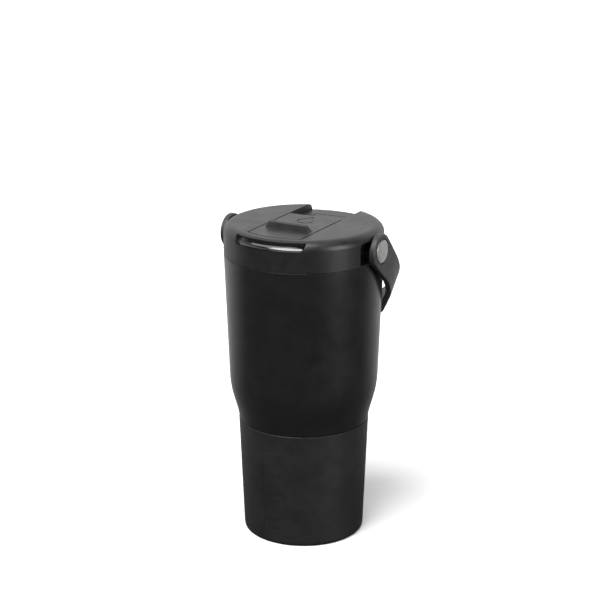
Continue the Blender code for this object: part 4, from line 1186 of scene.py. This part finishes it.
def turnedFromCamera(tree, place):
    # X, Y and Z of a place, with Y pointing away from the camera
    turn = node(tree, "ShaderNodeMapping", vector_type="POINT")
    turn.inputs["Rotation"].default_value = (0, 0, -camera["bearing"])
    link(tree, place, turn.inputs["Vector"])
    return partsOf(tree, turn.outputs["Vector"])


# Floor, world and lights
studio = {"floorHalf": 6.0, "floorSeen": 0.82, "floorAhead": 0.07, "floorBehind": 0.44,
          "rampStart": 0.03, "rampEnd": 0.33, "seenWorld": 1.05, "behind": 1.0,
          "ahead": 0.012, "overhead": 0.2, "sunStrength": 4.2,
          "sunSize": math.radians(44), "sunSide": math.radians(-34),
          "sunHeight": math.radians(62)}


def makeFloor():
    shape = bmesh.new()
    bmesh.ops.create_grid(shape, x_segments=1, y_segments=1, size=studio["floorHalf"])
    bmesh.ops.translate(shape, verts=shape.verts, vec=(0, 0, cadLow.z - 0.05 * mm))
    floor = asObject("floor", shape)
    material = bpy.data.materials.new("paleFloor")
    material.use_nodes = True
    tree = material.node_tree
    shader = tree.nodes["Principled BSDF"]
    shader.inputs["Roughness"].default_value = 0.9
    shader.inputs["Specular IOR Level"].default_value = 0.0
    where = node(tree, "ShaderNodeTexCoord")
    cloud = noise(tree, where.outputs["Object"], 3.0)
    parts = turnedFromCamera(tree, where.outputs["Object"])
    bounce = remap(tree, parts["Y"], studio["rampStart"], studio["rampEnd"],
                   studio["floorAhead"], studio["floorBehind"])
    rays = node(tree, "ShaderNodeLightPath")
    seen = remap(tree, cloud, 0.3, 0.7, studio["floorSeen"] - 0.01, studio["floorSeen"] + 0.01)
    tone = blendValue(tree, rays.outputs["Is Camera Ray"], bounce, seen)
    paint = node(tree, "ShaderNodeCombineColor")
    for channel in paint.inputs[:3]:
        link(tree, tone, channel)
    link(tree, paint.outputs["Color"], shader.inputs["Base Color"])
    floor.data.materials.append(material)


def makeWorld():
    # white to the camera; to the mug, bright behind, dim in front and softer overhead
    world = bpy.data.worlds.new("studioWorld")
    bpy.context.scene.world = world
    world.use_nodes = True
    tree = world.node_tree
    background = tree.nodes["Background"]
    where = node(tree, "ShaderNodeTexCoord")
    parts = turnedFromCamera(tree, where.outputs["Generated"])
    depth = remap(tree, parts["Y"], -0.05, 0.5, studio["ahead"], studio["behind"])
    above = remap(tree, parts["Z"], 0.8, 1.0, 0.0, studio["overhead"])
    glow = math2(tree, "MAXIMUM", depth, above)
    rays = node(tree, "ShaderNodeLightPath")
    link(tree, blendValue(tree, rays.outputs["Is Camera Ray"], glow, studio["seenWorld"]),
         background.inputs["Strength"])
    background.inputs["Color"].default_value = (1, 1, 1, 1)


def makeSun():
    data = bpy.data.lights.new("keySun", "SUN")
    data.energy = studio["sunStrength"]
    data.angle = studio["sunSize"]
    made = bpy.data.objects.new("keySun", data)
    side = camera["bearing"] + studio["sunSide"]
    flat = math.cos(studio["sunHeight"])
    aim = Vector((-math.sin(side) * flat, math.cos(side) * flat, -math.sin(studio["sunHeight"])))
    made.rotation_euler = aim.to_track_quat("-Z", "Y").to_euler()
    bpy.context.scene.collection.objects.link(made)


softBoxes = {  # name: (degrees round from the camera, distance, height, width, tall, watts)
    "leftBand": (-50, 1.3, 0.95, 2.0, 0.8, 14.0),
    "rightBand": (50, 1.2, 0.30, 0.35, 1.0, 11.0),
}


def makeSoftBoxes():
    target = Vector((0, 0, (cadLow.z + cadHigh.z) / 2))
    for name, (turn, distance, height, width, tall, watts) in softBoxes.items():
        angle = camera["bearing"] + math.radians(turn)
        data = bpy.data.lights.new(name, "AREA")
        data.shape = "RECTANGLE"
        data.size = width
        data.size_y = tall
        data.energy = watts
        made = bpy.data.objects.new(name, data)
        made.location = (distance * math.sin(angle), -distance * math.cos(angle), height)
        made.rotation_euler = (target - made.location).to_track_quat("-Z", "Y").to_euler()
        made.visible_camera = False
        bpy.context.scene.collection.objects.link(made)


makeCamera()
makeFloor()
makeWorld()
makeSun()
makeSoftBoxes()
bpy.context.scene.view_settings.view_transform = "Standard"
print("camera and lights set")
